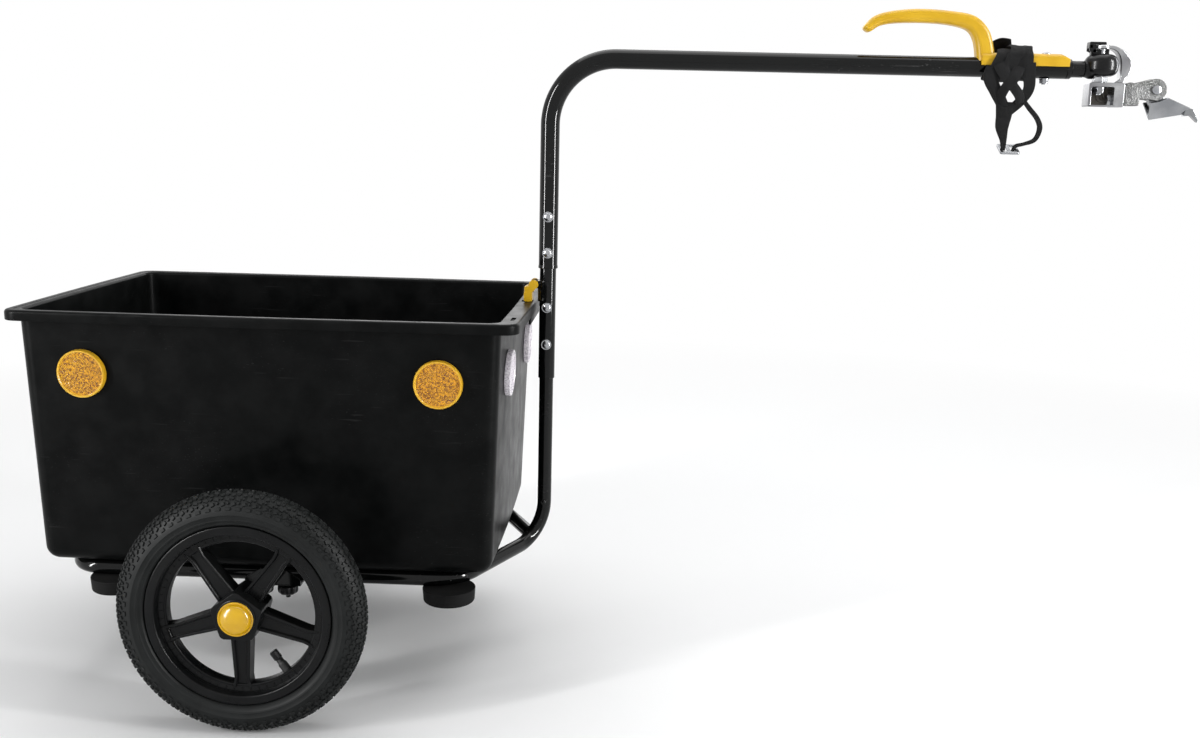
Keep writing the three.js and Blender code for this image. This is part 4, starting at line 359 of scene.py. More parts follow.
# %% Frames along a line
def stand(point, way, across):
    """A matrix at a point, with its Z along the way and its X as near across as it can be."""
    across = (across - way * across.dot(way)).normalized()
    matrix = Matrix((across, way.cross(across), way)).transposed().to_4x4()
    matrix.translation = point
    return matrix


def frames_along(points, across=(0, 1, 0)):
    """Matrices that carry a flat section along a line without twisting it."""
    last = len(points) - 1
    ways = [(points[min(i + 1, last)] - points[max(i - 1, 0)]).normalized() for i in range(last + 1)]
    across = Vector(across)
    frames = []
    for i, (point, way) in enumerate(zip(points, ways)):
        if i:
            across = ways[i - 1].rotation_difference(way) @ across
        frames.append(stand(point, way, across))
        across = frames[-1].col[0].to_3d()
    return frames


# %% [markdown]
# Two outlines come again and again: the hexagon of nuts and bolt heads, given by its width over the flats
# as a spanner is, and the rectangle about a middle.

# %% Hexagons and rectangles
def hexagon(flats, turn=0.0):
    return arc(0, 0, flats / 2 / math.cos(math.pi / 6), turn, turn + 300, 5)


def oblong(x, y, half_x, half_y):
    """The corners of a rectangle about a middle."""
    return [(x - half_x, y - half_y), (x + half_x, y - half_y),
            (x + half_x, y + half_y), (x - half_x, y + half_y)]


# %% [markdown]
# Tubes, walls and webbing are skins. One ring of points is extruded again and again to the next places, and
# the ends are capped, or bridged where the skin runs round to its start.

# %% Skins
def grow(bm, ring, places):
    """Extrude a closed ring of vertices and set the new ring on the given places."""
    edges = [bm.edges.get(pair) for pair in zip(ring, ring[1:] + ring[:1])]
    made = bmesh.ops.extrude_edge_only(bm, edges=edges)["geom"]
    fresh = {item for item in made if isinstance(item, bmesh.types.BMVert)}
    grown = [next(e.other_vert(v) for e in v.link_edges if e.other_vert(v) in fresh) for v in ring]
    for vert, place in zip(grown, places):
        vert.co = place
    return grown


def rings(places, closed=False):
    """A skin through rings of places, made by extruding the first ring again and again."""
    bm = bmesh.new()
    first = [bm.verts.new(place) for place in places[0]]
    for pair in zip(first, first[1:] + first[:1]):
        bm.edges.new(pair)
    ring = first
    for stage in places[1:]:
        ring = grow(bm, ring, stage)
    if closed:
        loops = [bm.edges.get(p) for r in (first, ring) for p in zip(r, r[1:] + r[:1])]
        bmesh.ops.bridge_loops(bm, edges=loops)
    else:
        bm.faces.new(first)
        bm.faces.new(ring)
    bmesh.ops.recalc_face_normals(bm, faces=bm.faces)
    return bm


def sweep(section, frames, closed=False):
    """Carry one section, or one for each frame, along the frames."""
    each = section if isinstance(section[0], list) else [section] * len(frames)
    return rings([[m @ Vector(p).to_3d() for p in s] for s, m in zip(each, frames)], closed)


# %% [markdown]
# Turned parts are half sections spun about an axis. Pressed and sawn parts are outlines pushed out to a
# thickness. Every real edge is a little round and catches light there, so sharp edges get a bevel.

# %% Lathes, prisms and blocks
def lathe(profile, steps=48, axis=(0, 0, 1), at=(0, 0, 0), closed=False):
    """Spin (radius, height) pairs about an axis through a point."""
    bm = bmesh.new()
    verts = [bm.verts.new((radius, 0, height)) for radius, height in profile]
    pairs = list(zip(verts, verts[1:])) + ([(verts[-1], verts[0])] if closed else [])
    edges = [bm.edges.new(pair) for pair in pairs]
    bmesh.ops.spin(bm, geom=verts + edges, cent=(0, 0, 0), axis=(0, 0, 1), angle=math.tau, steps=steps,
                   use_merge=True)
    bmesh.ops.remove_doubles(bm, verts=bm.verts, dist=0.0005)
    bmesh.ops.recalc_face_normals(bm, faces=bm.faces)
    turn = Vector((0, 0, 1)).rotation_difference(Vector(axis)).to_matrix().to_4x4()
    bmesh.ops.transform(bm, matrix=Matrix.Translation(at) @ turn, verts=bm.verts)
    return bm


def soften(bm, width, segments=2, limit=28):
    """Round every edge that is sharper than the limit."""
    sharp = [e for e in bm.edges if e.is_manifold and e.calc_face_angle(0) > math.radians(limit)]
    bmesh.ops.bevel(bm, geom=sharp, offset=width, segments=segments, profile=0.5, affect="EDGES",
                    clamp_overlap=True, material=-1)
    return bm


def prism(outline, low, high, axis="Y", edge=0.0):
    """An outline pushed out along an axis. Its pairs are (x, z) for Y, (x, y) for Z and (y, z) for X."""
    order = {"X": (2, 0, 1), "Y": (0, 2, 1), "Z": (0, 1, 2)}[axis]
    bm = bmesh.new()
    corners = [(point[0], point[1], low) for point in outline]
    face = bm.faces.new([bm.verts.new([corner[k] for k in order]) for corner in corners])
    pushed = bmesh.ops.extrude_face_region(bm, geom=[face])["geom"]
    push = [(0, 0, high - low)[k] for k in order]
    bmesh.ops.translate(bm, vec=push, verts=[g for g in pushed if isinstance(g, bmesh.types.BMVert)])
    bmesh.ops.recalc_face_normals(bm, faces=bm.faces)
    return soften(bm, edge) if edge else bm


def plate(outline, way, near, far, edge):
    """An (x, z) outline as a plate on one side of the centre plane, from near to far."""
    return prism(outline, *sorted((way * near, way * far)), "Y", edge)


def block(low, high, edge=0.0):
    bm = bmesh.new()
    size = Vector(high) - Vector(low)
    middle = (Vector(high) + Vector(low)) / 2
    bmesh.ops.create_cube(bm, size=1, matrix=Matrix.Translation(middle) @ Matrix.Diagonal(size).to_4x4())
    return soften(bm, edge) if edge else bm


# %% [markdown]
# Several shapes make one piece, as welded or moulded parts do, and holes are carved out of it. Blender's
# exact Boolean does the carving on two objects that are removed again.

# %% Joining and carving
def join(*parts):
    whole = bmesh.new()
    for part in parts:
        mesh = bpy.data.meshes.new("part")
        part.to_mesh(mesh)
        part.free()
        whole.from_mesh(mesh)
        bpy.data.meshes.remove(mesh)
    return whole


def as_object(name, bm):
    """Turn a shape into an object in the scene."""
    mesh = bpy.data.meshes.new(name)
    bm.to_mesh(mesh)
    bm.free()
    thing = bpy.data.objects.new(name, mesh)
    bpy.context.scene.collection.objects.link(thing)
    return thing


def carve(bm, *cutters):
    """Take the cutters out of a shape, with Blender's Boolean modifier on passing objects."""
    passing = [as_object("passing", shape) for shape in (bm, join(*cutters))]
    cut = passing[0].modifiers.new("cut", "BOOLEAN")
    cut.operation = "DIFFERENCE"
    cut.solver = "EXACT"
    cut.object = passing[1]
    seen = passing[0].evaluated_get(bpy.context.evaluated_depsgraph_get())
    done = bmesh.new()
    done.from_mesh(seen.data)
    for thing in passing:
        mesh = thing.data
        bpy.data.objects.remove(thing)
        bpy.data.meshes.remove(mesh)
    return done


def moved(bm, matrix):
    bmesh.ops.transform(bm, matrix=matrix, verts=bm.verts)
    return bm


# %% [markdown]
# A finished shape goes into the frame by one matrix. It is shaded smooth between its sharp edges, rides on
# the body that it moves with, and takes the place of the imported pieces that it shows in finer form.

# %% Setting a finished piece in the frame
MADE = []


def set_piece(name, bm, finish, nodes=(), body="frame", smooth=34):
    """Carry a shape into the frame, smooth it, and give it its finish and body."""
    bmesh.ops.transform(bm, matrix=PLACE, verts=bm.verts)
    for face in bm.faces:
        face.smooth = True
    for edge in bm.edges:
        edge.smooth = len(edge.link_faces) == 2 and edge.calc_face_angle(0) < math.radians(smooth)
    piece = as_object(name, bm)
    piece.data.materials.append(FINISHES[finish])
    even = piece.modifiers.new("even_shading", "WEIGHTED_NORMAL")
    even.keep_sharp = True
    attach(piece, body)
    if nodes:
        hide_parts(*nodes)
    MADE.append(name)


SIDES = {"right": -1, "left": 1}
print("helpers ready")

# %% [markdown]
# The tub is one injection moulding: thin walls that flare a little so that it leaves the mould, a rounded
# floor edge, bowed long sides that stay flat when they cool, and a flange all round with a turned-down lip.
# It rests on the rails, and its walls are given at the floor and under the flange.

# %% Measures of the tub, and one ring round it
WHEEL_RADIUS = 149
RAIL_RADIUS = 9.525
TUB_FLOOR = WHEEL_RADIUS + RAIL_RADIUS + 0.3
TUB_TOP = 485.6
FLANGE_THICKNESS = 3
WALL_TOP = TUB_TOP - FLANGE_THICKNESS
TUB_WALL = 3
TUB_CORNER = 18
BOTTOM_ROUND = 18
FLANGE_SIDE, FLANGE_FRONT, FLANGE_CORNER = 13.5, 23, 20
LIP_DEPTH = 13
LOW_WALLS = {"rear": -295.8, "front": 279, "half": 190}
HIGH_WALLS = {"rear": -303.9, "front": 290.3, "half": 203.5}
SIDE_BOW, END_BOW = 4.5, 2


def walls_at(z):
    share = (z - TUB_FLOOR) / (WALL_TOP - TUB_FLOOR)
    return {key: LOW_WALLS[key] + (HIGH_WALLS[key] - LOW_WALLS[key]) * share for key in LOW_WALLS}


def tub_ring(z, out, at=None, front=None, corner=None, corner_steps=10, side_steps=12):
    """A ring of points round the tub, pushed outwards, with its long sides bowed."""
    walls = walls_at(z)
    rear_x = walls["rear"] - out
    front_x = walls["front"] + (out if front is None else front)
    half = walls["half"] + out
    size = max(TUB_CORNER + out, 5.0) if corner is None else corner
    starts = [(front_x - size, size - half, -90), (front_x - size, half - size, 0),
              (rear_x + size, half - size, 90), (rear_x + size, size - half, 180)]
    outwards = [(1, 0), (0, 1), (-1, 0), (0, -1)]
    ring = []
    for i, (x, y, angle) in enumerate(starts):
        ring += arc(x, y, size, angle, angle + 90, corner_steps)
        nx, ny, next_angle = starts[(i + 1) % 4]
        following = arc(nx, ny, size, next_angle, next_angle, 1)[0]
        last = ring[-1]
        bow = (END_BOW, SIDE_BOW)[i % 2]
        for k in range(1, side_steps):
            share = k / side_steps
            push = bow * math.sin(math.pi * share)
            ring.append((last[0] + (following[0] - last[0]) * share + outwards[i][0] * push,
                         last[1] + (following[1] - last[1]) * share + outwards[i][1] * push))
    height = z if at is None else at
    return [(x, y, height) for x, y in ring]


# %% [markdown]
# The tub is grown as one skin of such rings, from the floor up the outside, over the flange and its lip, and
# down the inside to the floor again, so its wall is real and as thick as a moulded one.

# %% Tub skin
def tub_skin():
    skin = []
    for k in range(9):
        angle = math.pi / 2 * k / 8
        skin.append(tub_ring(TUB_FLOOR + BOTTOM_ROUND * (1 - math.cos(angle)),
                             -BOTTOM_ROUND * (1 - math.sin(angle))))
    skin += [tub_ring(z, 0) for z in (260, 350, 430, WALL_TOP - 2)]
    skin.append(tub_ring(WALL_TOP, 1.5))

    def flange_ring(less, at):
        return tub_ring(WALL_TOP, FLANGE_SIDE - less, at, FLANGE_FRONT - less, FLANGE_CORNER - less)

    skin.append(flange_ring(4.2, WALL_TOP))
    skin.append(flange_ring(3, WALL_TOP - 1.2))
    lip_low = TUB_TOP - LIP_DEPTH
    skin += [flange_ring(2.6, lip_low + 0.8), flange_ring(2.0, lip_low), flange_ring(0.7, lip_low)]
    skin += [flange_ring(0.1, lip_low + 0.7), flange_ring(0, TUB_TOP - 4.2)]
    for x, z in arc(4.2, TUB_TOP - 4.2, 4.2, 165, 90, 6):
        skin.append(flange_ring(x, z))
    skin.append(flange_ring(9.5, TUB_TOP))
    skin.append(flange_ring(9.9, TUB_TOP - 0.5))
    for x, z in arc(1.5, TUB_TOP - 4.5, 4.0, 90, 180, 5):
        skin.append(tub_ring(WALL_TOP, x - 0.5, z))
    skin += [tub_ring(z, -TUB_WALL) for z in (430, 350, 260)]
    for k in range(8, -1, -1):
        angle = math.pi / 2 * k / 8
        inner = BOTTOM_ROUND - TUB_WALL
        skin.append(tub_ring(TUB_FLOOR + TUB_WALL + inner * (1 - math.cos(angle)),
                             -TUB_WALL - inner * (1 - math.sin(angle))))
    return rings(skin)


# %% [markdown]
# The wider front flange has two slots for the hands and a smaller hole for the clip's nib, and a short apron
# hangs from its edge where the clip bears. A mould forms them with cores and a pocket. Here prisms are
# carved out of the skin and the apron is joined on.

# %% Tub with its apron and slots
RIM_FRONT = HIGH_WALLS["front"] + FLANGE_FRONT
APRON_HALF, APRON_DEPTH = 60, 24
SLOT_X, SLOT_Y, SLOT_ROUND = RIM_FRONT - 11.4, 166, 2.4
CLIP_SLOT_REAR, CLIP_SLOT_FRONT, CLIP_SLOT_HALF = 294.8, 309.8, 8
CUT_LOW, CUT_HIGH = TUB_TOP - 12, TUB_TOP + 5

apron = block((RIM_FRONT - 2.8, -APRON_HALF, TUB_TOP - APRON_DEPTH),
              (RIM_FRONT + 0.2, APRON_HALF, TUB_TOP - 3), 1.2)
slots = [prism(bent(oblong(SLOT_X, y, 3, 13), SLOT_ROUND, 4, True), CUT_LOW, CUT_HIGH, "Z")
         for y in (-SLOT_Y, SLOT_Y)]
slots.append(block((CLIP_SLOT_REAR, -CLIP_SLOT_HALF, CUT_LOW), (CLIP_SLOT_FRONT, CLIP_SLOT_HALF, CUT_HIGH)))
tub = join(carve(tub_skin(), *slots), apron)
set_piece("moulded_tub", tub, "tub_plastic", ["tub"], smooth=40)
print("tub set, rim", TUB_TOP, "mm high")

# %% [markdown]
# The frame, the mast and the drawbar are steel tube. A tube is a round section carried along its centre
# line. Its two ends are open, with the wall showing and the edges broken, because a sawn tube shows its
# wall, and the drawbar's foot flares a little where it slides over the mast.

# %% A tube
MAST_X = 330
RAIL_Y = 175


def tube(points, radius, wall=1.3, sides=36, across=(0, 1, 0), depth=14.0, flare=0.0):
    """A tube along a line, with its wall showing at both ends and its edges broken."""
    frames = frames_along(points, across)
    round_section = arc(0, 0, 1, 0, 360 - 360 / sides, sides - 1)

    def ring(matrix, size, shift=0.0):
        return [matrix @ Vector((x * size, y * size, shift)) for x, y in round_section]

    start, end = frames[0], frames[-1]
    lip = 0.35
    bore, mouth, mouth_bore = radius - wall, radius + flare, radius - wall + flare
    places = [ring(start, mouth_bore, depth), ring(start, mouth_bore, lip), ring(start, mouth_bore + lip, 0),
              ring(start, mouth - lip, 0), ring(start, mouth, lip)]
    if flare:
        places += [ring(start, mouth, 2.5), ring(start, radius, 5)]
    places += [ring(matrix, radius) for matrix in frames[1:-1]]
    places += [ring(end, radius, -lip), ring(end, radius - lip, 0), ring(end, bore + lip, 0),
               ring(end, bore, -lip), ring(end, bore, -depth)]
    return rings(places)


# %% [markdown]
# Each frame tube is bent in one plane: from the middle of the rear round to a rail under the tub, and then
# inwards as a leg. The right one climbs in one smooth bend to the mast, and the left one ends in a weld
# bead on its foot.

# %% Frame tubes
REAR_X, RAIL_END_X, LEG_X = -266, 234.2, 299
LEG_SLOPE = 0.476
LEG_END_Y = RAIL_Y - (LEG_X - RAIL_END_X) / LEG_SLOPE


def frame_line(way):
    """The centre line of one frame tube, from the middle of the rear to the end of its leg."""
    corners = ((REAR_X, 0.2), (REAR_X, RAIL_Y), (RAIL_END_X, RAIL_Y), (LEG_X, LEG_END_Y))
    return bent([(x, way * y, WHEEL_RADIUS) for x, y in corners], [0, 40, 60, 0], 14)


def climb(start, lead, below, end, steps=22):
    """A smooth rise from the leg into the mast."""
    line = []
    for i in range(1, steps + 1):
        t = i / steps
        line.append(start * (1 - t)**3 + lead * 3 * t * (1 - t)**2 + below * 3 * t**2 * (1 - t) + end * t**3)
    return line


right_line = frame_line(-1)
leg_way = (right_line[-1] - right_line[-2]).normalized()
mast_foot = Vector((MAST_X, 0, WHEEL_RADIUS + 56))
right_line += climb(right_line[-1], right_line[-1] + leg_way * 25, mast_foot - Vector((0, 0, 34)), mast_foot)
right_line.append(Vector((MAST_X, 0, 500)))
right_tube = tube(right_line, RAIL_RADIUS, across=(0, 0, 1))
set_piece("right_tube_and_mast", right_tube, "frame_paint", ["right_frame_tube"])

left_line = frame_line(1)[:-1] + [Vector((LEG_X + LEG_END_Y * LEG_SLOPE - 6, 12, WHEEL_RADIUS))]
left_end, left_way = left_line[-1], left_line[-1] - left_line[-3]
weld = lathe([(9.2, -3.6), (10.9, -2), (11.6, 0), (10.9, 2), (9.2, 3.6)], 40, left_way,
             left_end - left_way.normalized() * 5)
left_tube = join(tube(left_line, RAIL_RADIUS, across=(0, 0, 1)), weld)
set_piece("left_tube", left_tube, "frame_paint", ["left_frame_tube"])

# %% [markdown]
# The mast telescopes: a 22 mm sleeve slides over the frame tube, and the 25 mm drawbar over the sleeve. So
# their sizes step up, and each lower end shows as an edge.

# %% Sleeve and drawbar
sleeve_line = [Vector((MAST_X, 0, z)) for z in (380, 385, 617, 622)]
set_piece("telescoping_sleeve", tube(sleeve_line, 11.1), "frame_paint", ["mast_sleeve"])

DRAWBAR_Z = 807.5
drawbar_line = bent([(MAST_X, 0, 531), (MAST_X, 0, DRAWBAR_Z), (995, 0, DRAWBAR_Z)], 86, 24)
set_piece("drawbar", tube(drawbar_line, 12.7, flare=0.5), "frame_paint", ["drawbar_tube"])
print("tubes swept, drawbar ends at", drawbar_line[-1].x)

# %% [markdown]
# The telescoping tubes are pinned by bolts right across: a domed head on the right, a flanged dome nut on
# the left. The little rivet at the foot stops the tube from turning.

# %% Bolts and rivet of the mast
def dome(radius, height, brim=0.0, steps=6):
    """A dome's half section: a brim, a low step and the curve up to the crown."""
    profile = [(0.0, 0.0), (radius, 0.0)]
    if brim:
        profile += [(radius, brim * 0.7), (radius * 0.96, brim), (radius * 0.84, brim * 1.05)]
        radius *= 0.8
    rise = height - brim
    angles = [math.pi / 2 * k / steps for k in range(steps)]
    curve = [(radius * math.cos(a), brim + rise * math.sin(a)) for a in angles]
    return profile + curve + [(0.0, height)]


def across_mast(z, seat):
    head = lathe(dome(7, 4.0, 1.1), 40, (0, -1, 0), (MAST_X, -seat, z))
    flange = lathe(dome(7.5, 2.0, 1.6), 40, (0, 1, 0), (MAST_X, seat, z))
    hexagon_nut = moved(prism(hexagon(10), 0.8, 5, "Z", 0.4), Matrix.Translation((MAST_X, seat, z))
                        @ Matrix.Rotation(-math.pi / 2, 4, "X"))
    cap = lathe(dome(4.8, 3.9), 32, (0, 1, 0), (MAST_X, seat + 5, z))
    shank = lathe([(0, -seat), (3, -seat), (3, seat), (0, seat)], 20, (0, 1, 0), (MAST_X, 0, z))
    return join(head, flange, hexagon_nut, cap, shank)


for name, z, seat in (("lower_sleeve_bolt", 427.4, 11.1), ("upper_sleeve_bolt", 478.2, 11.1),
                      ("lower_drawbar_bolt", 552, 12.7), ("upper_drawbar_bolt", 600.3, 12.7)):
    set_piece(name + "_set", across_mast(z, seat + 0.15), "zinc_plate", [name])
rivet = join(*[lathe(dome(4.5, 2.5, 0.5), 6, (0, way, 0), (MAST_X, way * 9.6, 204)) for way in (-1, 1)])
set_piece("mast_rivet_set", rivet, "frame_paint", ["mast_rivet"], smooth=20)
print("mast bolts set")

# %% [markdown]
# Rubber feet are screwed under the rails, so that the trailer stands quietly and doesn't scratch a floor. A
# foot is turned, because a real one is moulded round. Four low-headed bolts hold the tub on its cross bars.

# %% Feet and tub bolts
FOOT_TOP = WHEEL_RADIUS - RAIL_RADIUS - 0.3
FOOT_BOTTOM = FOOT_TOP - 18
SCREW_SEAT = FOOT_BOTTOM + 6
FOOT_X = {"front": 224, "rear": -205}
TUB_BOLT_X, TUB_BOLT_Y = {"front": 150, "rear": -170}, 120

foot_section = [(0, SCREW_SEAT), (8.6, SCREW_SEAT), (9, FOOT_BOTTOM + 0.6), (9.6, FOOT_BOTTOM)]
foot_section += arc(29.8, FOOT_BOTTOM + 2.8, 2.8, -90, -4, 6) + arc(32.4, FOOT_TOP - 1.2, 1.2, 0, 90, 3)
foot_section += [(0, FOOT_TOP)]
for end, x in FOOT_X.items():
    for word, way in SIDES.items():
        name, y = f"{end}_{word}_foot", way * RAIL_Y
        set_piece("rubber_" + name, lathe(foot_section, 64, at=(x, y, 0)), "foot_rubber", [name])
        cross = [block((x - u, y - v, 0), (x + u, y + v, SCREW_SEAT - 1.8))
                 for u, v in ((3.2, 0.6), (0.6, 3.2))]
        screw = carve(lathe(dome(5.5, 3.4, 0.8), 32, (0, 0, -1), (x, y, SCREW_SEAT)), *cross)
        set_piece(name + "_screw", screw, "zinc_plate")

for end, x in TUB_BOLT_X.items():
    for word, way in SIDES.items():
        head = lathe(dome(9, 4.2, 1.4), 32, at=(x, way * TUB_BOLT_Y, TUB_FLOOR + TUB_WALL))
        below = moved(prism(hexagon(10), -4.6, 0, "Z", 0.4), Matrix.Translation((x, way * TUB_BOLT_Y, 154)))
        set_piece(f"{end}_{word}_tub_bolt", join(head, below), "zinc_plate")
print("feet and tub bolts set")

# %% [markdown]
# The axle hangs under the rails in two pressed angle brackets with sleeves. Each is clamped by two knobs
# moulded on bolts, so that the axle comes off without tools. A knob is turned first, and then its edge is
# pulled in and out to make the flutes for the fingers.

# %% Knobs and axle brackets
KNOB_TOP = FOOT_TOP - 3.6
FLUTES, FLUTE_DEPTH = 9, 0.045
KNOB_X = {"front": 16, "rear": -16}
BRACKET_HALF, BRACKET_PLATE = 36, 3
knob_section = [(0, KNOB_TOP - 14)] + arc(7, KNOB_TOP - 8.5, 5.5, -90, 0, 6)
knob_section += arc(11, KNOB_TOP - 4, 1.5, 0, 70, 3) + [(6.6, KNOB_TOP - 1), (6, KNOB_TOP), (0, KNOB_TOP)]
tip_section = [(0, KNOB_TOP - 19), (2.4, KNOB_TOP - 19), (3, KNOB_TOP - 18.4), (3, KNOB_TOP - 13),
               (0, KNOB_TOP - 13)]


def knob(x, y):
    """A knob with grip flutes round its edge, moulded on its bolt."""
    bm = lathe(knob_section, 72)
    for vert in bm.verts:
        if vert.co.xy.length > 8:
            flute = 1 + FLUTE_DEPTH * math.cos(FLUTES * math.atan2(vert.co.y, vert.co.x))
            vert.co.x *= flute
            vert.co.y *= flute
    return moved(join(bm, lathe(tip_section, 24)), Matrix.Translation((x, y, 0)))


arch = bent([(-BRACKET_HALF, FOOT_TOP - 3), (BRACKET_HALF, FOOT_TOP - 3), (BRACKET_HALF, FOOT_TOP + 6),
             (16, FOOT_TOP + 19), (-16, FOOT_TOP + 19), (-BRACKET_HALF, FOOT_TOP + 6)],
            [1, 1, 5, 8, 8, 5], 5, True)
for word, way in SIDES.items():
    for end, x in KNOB_X.items():
        name = f"{word}_{end}_knob_bolt"
        set_piece("grip_" + name, knob(x, way * RAIL_Y), "knob_plastic", [name])
    inner, outer = sorted((way * (RAIL_Y - 9.5), way * (RAIL_Y + 12.8)))
    base = block((-BRACKET_HALF, inner, FOOT_TOP - BRACKET_PLATE), (BRACKET_HALF, outer, FOOT_TOP), 0.8)
    upright = plate(arch, way, RAIL_Y + 9.8, RAIL_Y + 12.8, 0.6)
    sleeve = lathe([(6.3, 0), (10, 0), (10, 92.9), (9.4, 93.5), (6.3, 93.5)], 40, (0, way, 0),
                   (0, way * (RAIL_Y + 12), WHEEL_RADIUS), True)
    set_piece(f"{word}_axle_bracket_set", join(base, upright, sleeve), "frame_paint",
              [f"{word}_axle_bracket"])
print("knobs and brackets set")

# %% [markdown]
# The tyre is a ring of rubber over cords, with two stiff beads that sit on the rim. Its section is spun about
# the axle: crown, shoulders, side walls with fine raised rings, and beads. It is open inside, where the tube
# lies.

# %% Tyre carcass
SECTION_RADIUS = 23.5
CROWN_RADIUS = 125.5
TREAD = 1.7


def tyre_point(angle, radius):
    a = math.radians(angle)
    return (CROWN_RADIUS + radius * math.cos(a), radius * math.sin(a))


def tyre_carcass():
    heights = {-128: 22.4, -122: 23.2, -118: 22.6, -112: 22.6, -110: 23.1, -106: 23.1, -104: 22.6, -94: 22.7,
               -92: 23.2, -90: 23.2, -88: 22.7, -80: 22.6, -76: 21.9}
    outer = [tyre_point(a, r) for a, r in heights.items()]
    outer += [tyre_point(a, SECTION_RADIUS - TREAD) for a in range(-70, 71, 10)]
    outer += [tyre_point(-a, heights[a]) for a in reversed(list(heights))]
    bead = [(110.8, 14.5), (101.8, 14.5), (101.8, 11), (114.3, 13.8)]
    inner = [(min(r, 144.0), y) for r, y in (tyre_point(a, 20) for a in range(110, -111, -20))]
    far_bead = [(r, -y) for r, y in reversed(bead)]
    return lathe(outer + bead + inner + far_bead, 144, (0, 1, 0), closed=True)


# %% [markdown]
# The tread grips through hundreds of small blocks, which a mould repeats round the tyre. So one pitch of it
# is made from tapered cubes, each with a row, a length, a width, a twist and a place in the pitch, and it is
# spun round as copies.

# %% Tread blocks
PITCHES = 70
TREAD_ROWS = ((-72, 6.4, 4.2, 0, 0.0), (-58, 5.2, 4.2, 24, 0.5), (-43, 6.0, 4.0, -20, 0.1),
              (-27, 5.0, 4.6, 26, 0.6), (-9, 6.2, 5.0, -14, 0.2), (9, 5.4, 5.0, 14, 0.7),
              (27, 6.0, 4.6, -26, 0.3), (43, 5.0, 4.0, 20, 0.8), (58, 5.8, 4.2, -24, 0.4),
              (72, 6.4, 4.2, 0, 0.9))


def tread_block(bm, around, across, length, width, twist):
    """A tapered block that stands on the carcass, at an angle round the wheel and across the crown."""
    made = bmesh.ops.create_cube(bm, size=1)["verts"]
    for vert in made:
        if vert.co.z > 0:
            vert.co.x *= 0.78
            vert.co.y *= 0.78
    theta, phi = math.radians(around), math.radians(across)
    out = Vector((math.cos(phi) * math.cos(theta), math.sin(phi), math.cos(phi) * math.sin(theta)))
    along = Vector((-math.sin(theta), 0, math.cos(theta)))
    middle = Vector((CROWN_RADIUS * math.cos(theta), 0, CROWN_RADIUS * math.sin(theta)))
    matrix = Matrix((along, out.cross(along), out)).transposed().to_4x4()
    matrix.translation = middle + out * (SECTION_RADIUS - TREAD / 2 - 0.2)
    size = Matrix.Diagonal((length, width, TREAD + 0.4, 1))
    bmesh.ops.transform(bm, matrix=matrix @ Matrix.Rotation(math.radians(twist), 4, "Z") @ size, verts=made)


def tyre_tread():
    bm = bmesh.new()
    step = 360 / PITCHES
    for across, length, width, twist, lag in TREAD_ROWS:
        tread_block(bm, step * lag, across, length, width, twist)
        if abs(across) < 60:
            tread_block(bm, step * (lag + 0.52), across + 3, length * 0.5, width * 0.8, -twist)
    bmesh.ops.spin(bm, geom=bm.verts[:] + bm.edges[:] + bm.faces[:], cent=(0, 0, 0), axis=(0, 1, 0),
                   angle=math.tau * (PITCHES - 1) / PITCHES, steps=PITCHES - 1, use_duplicate=True)
    return bm


WHEEL_Y = 305
WHEELS = {"right": Matrix.Translation((0, -WHEEL_Y, WHEEL_RADIUS)),
          "left": Matrix.Translation((0, WHEEL_Y, WHEEL_RADIUS)) @ Matrix.Rotation(math.pi, 4, "Z")}


def set_on_wheels(name, bm, finish, replaced=None, smooth=34):
    """Set one piece on each wheel. It is made about the wheel's middle with its outer face to -Y."""
    for word, matrix in WHEELS.items():
        nodes = [f"{word}_{replaced}"] if replaced else []
        set_piece(f"{word}_{name}", moved(bm.copy(), matrix), finish, nodes, f"{word}_wheel", smooth)
    bm.free()


set_on_wheels("tyre_with_tread", join(tyre_carcass(), tyre_tread()), "tyre_rubber", "tyre")
print("tyres set,", PITCHES, "pitches of tread")

# %% [markdown]
# The wheel is one plastic moulding: a channel that the beads sit in, five hollowed spokes with a ridge along
# each edge, and a five-sided hub with room for the bearings. Hollows keep the walls thin and even, so that
# the moulding cools without dents. The channel is spun, the spokes are swept and the hub is carved.

# %% Rim, spokes and hub
SPOKE_ANGLES = [-90 + 72 * i for i in range(5)]
SPOKE_START, SPOKE_END, SPOKE_STEPS = 24, 92, 12
RIM_RIBS = 60


def rim_channel():
    half = [(95.5, 0), (95.5, 7.2), (101.5, 10.2), (101.5, 14.8), (110.5, 14.8), (110.5, 16.4)]
    half += arc(108.4, 16.4, 2.1, 0, 90, 4) + arc(101, 16.5, 2.0, 90, 170, 4) + [(98.4, 15.6)]
    half += arc(99.2, 10.4, 2.0, 190, 250, 3) + [(91.5, 7.6)] + arc(90.2, 5.8, 2.0, 60, 180, 4) + [(88, 0)]
    mirrored = [(r, -y) for r, y in reversed(half[1:-1])]
    return lathe(half + mirrored, 120, (0, 1, 0), closed=True)


def spoke_section(share):
    """Across and through a spoke: a ridge along each edge and a channel between, on both faces."""
    w = 12 - 3.5 * share + 2.5 * max(0, share - 0.85) / 0.15
    t = 10.4 - 1.6 * share
    quarter = [(w, t - 1), (w - 0.9, t), (w - 2.9, t), (w - 3.8, t - 0.8), (w - 4.6, t - 3.2)]
    upper = quarter + [(-u, v) for u, v in reversed(quarter)]
    return upper + [(-u, -v) for u, v in upper]


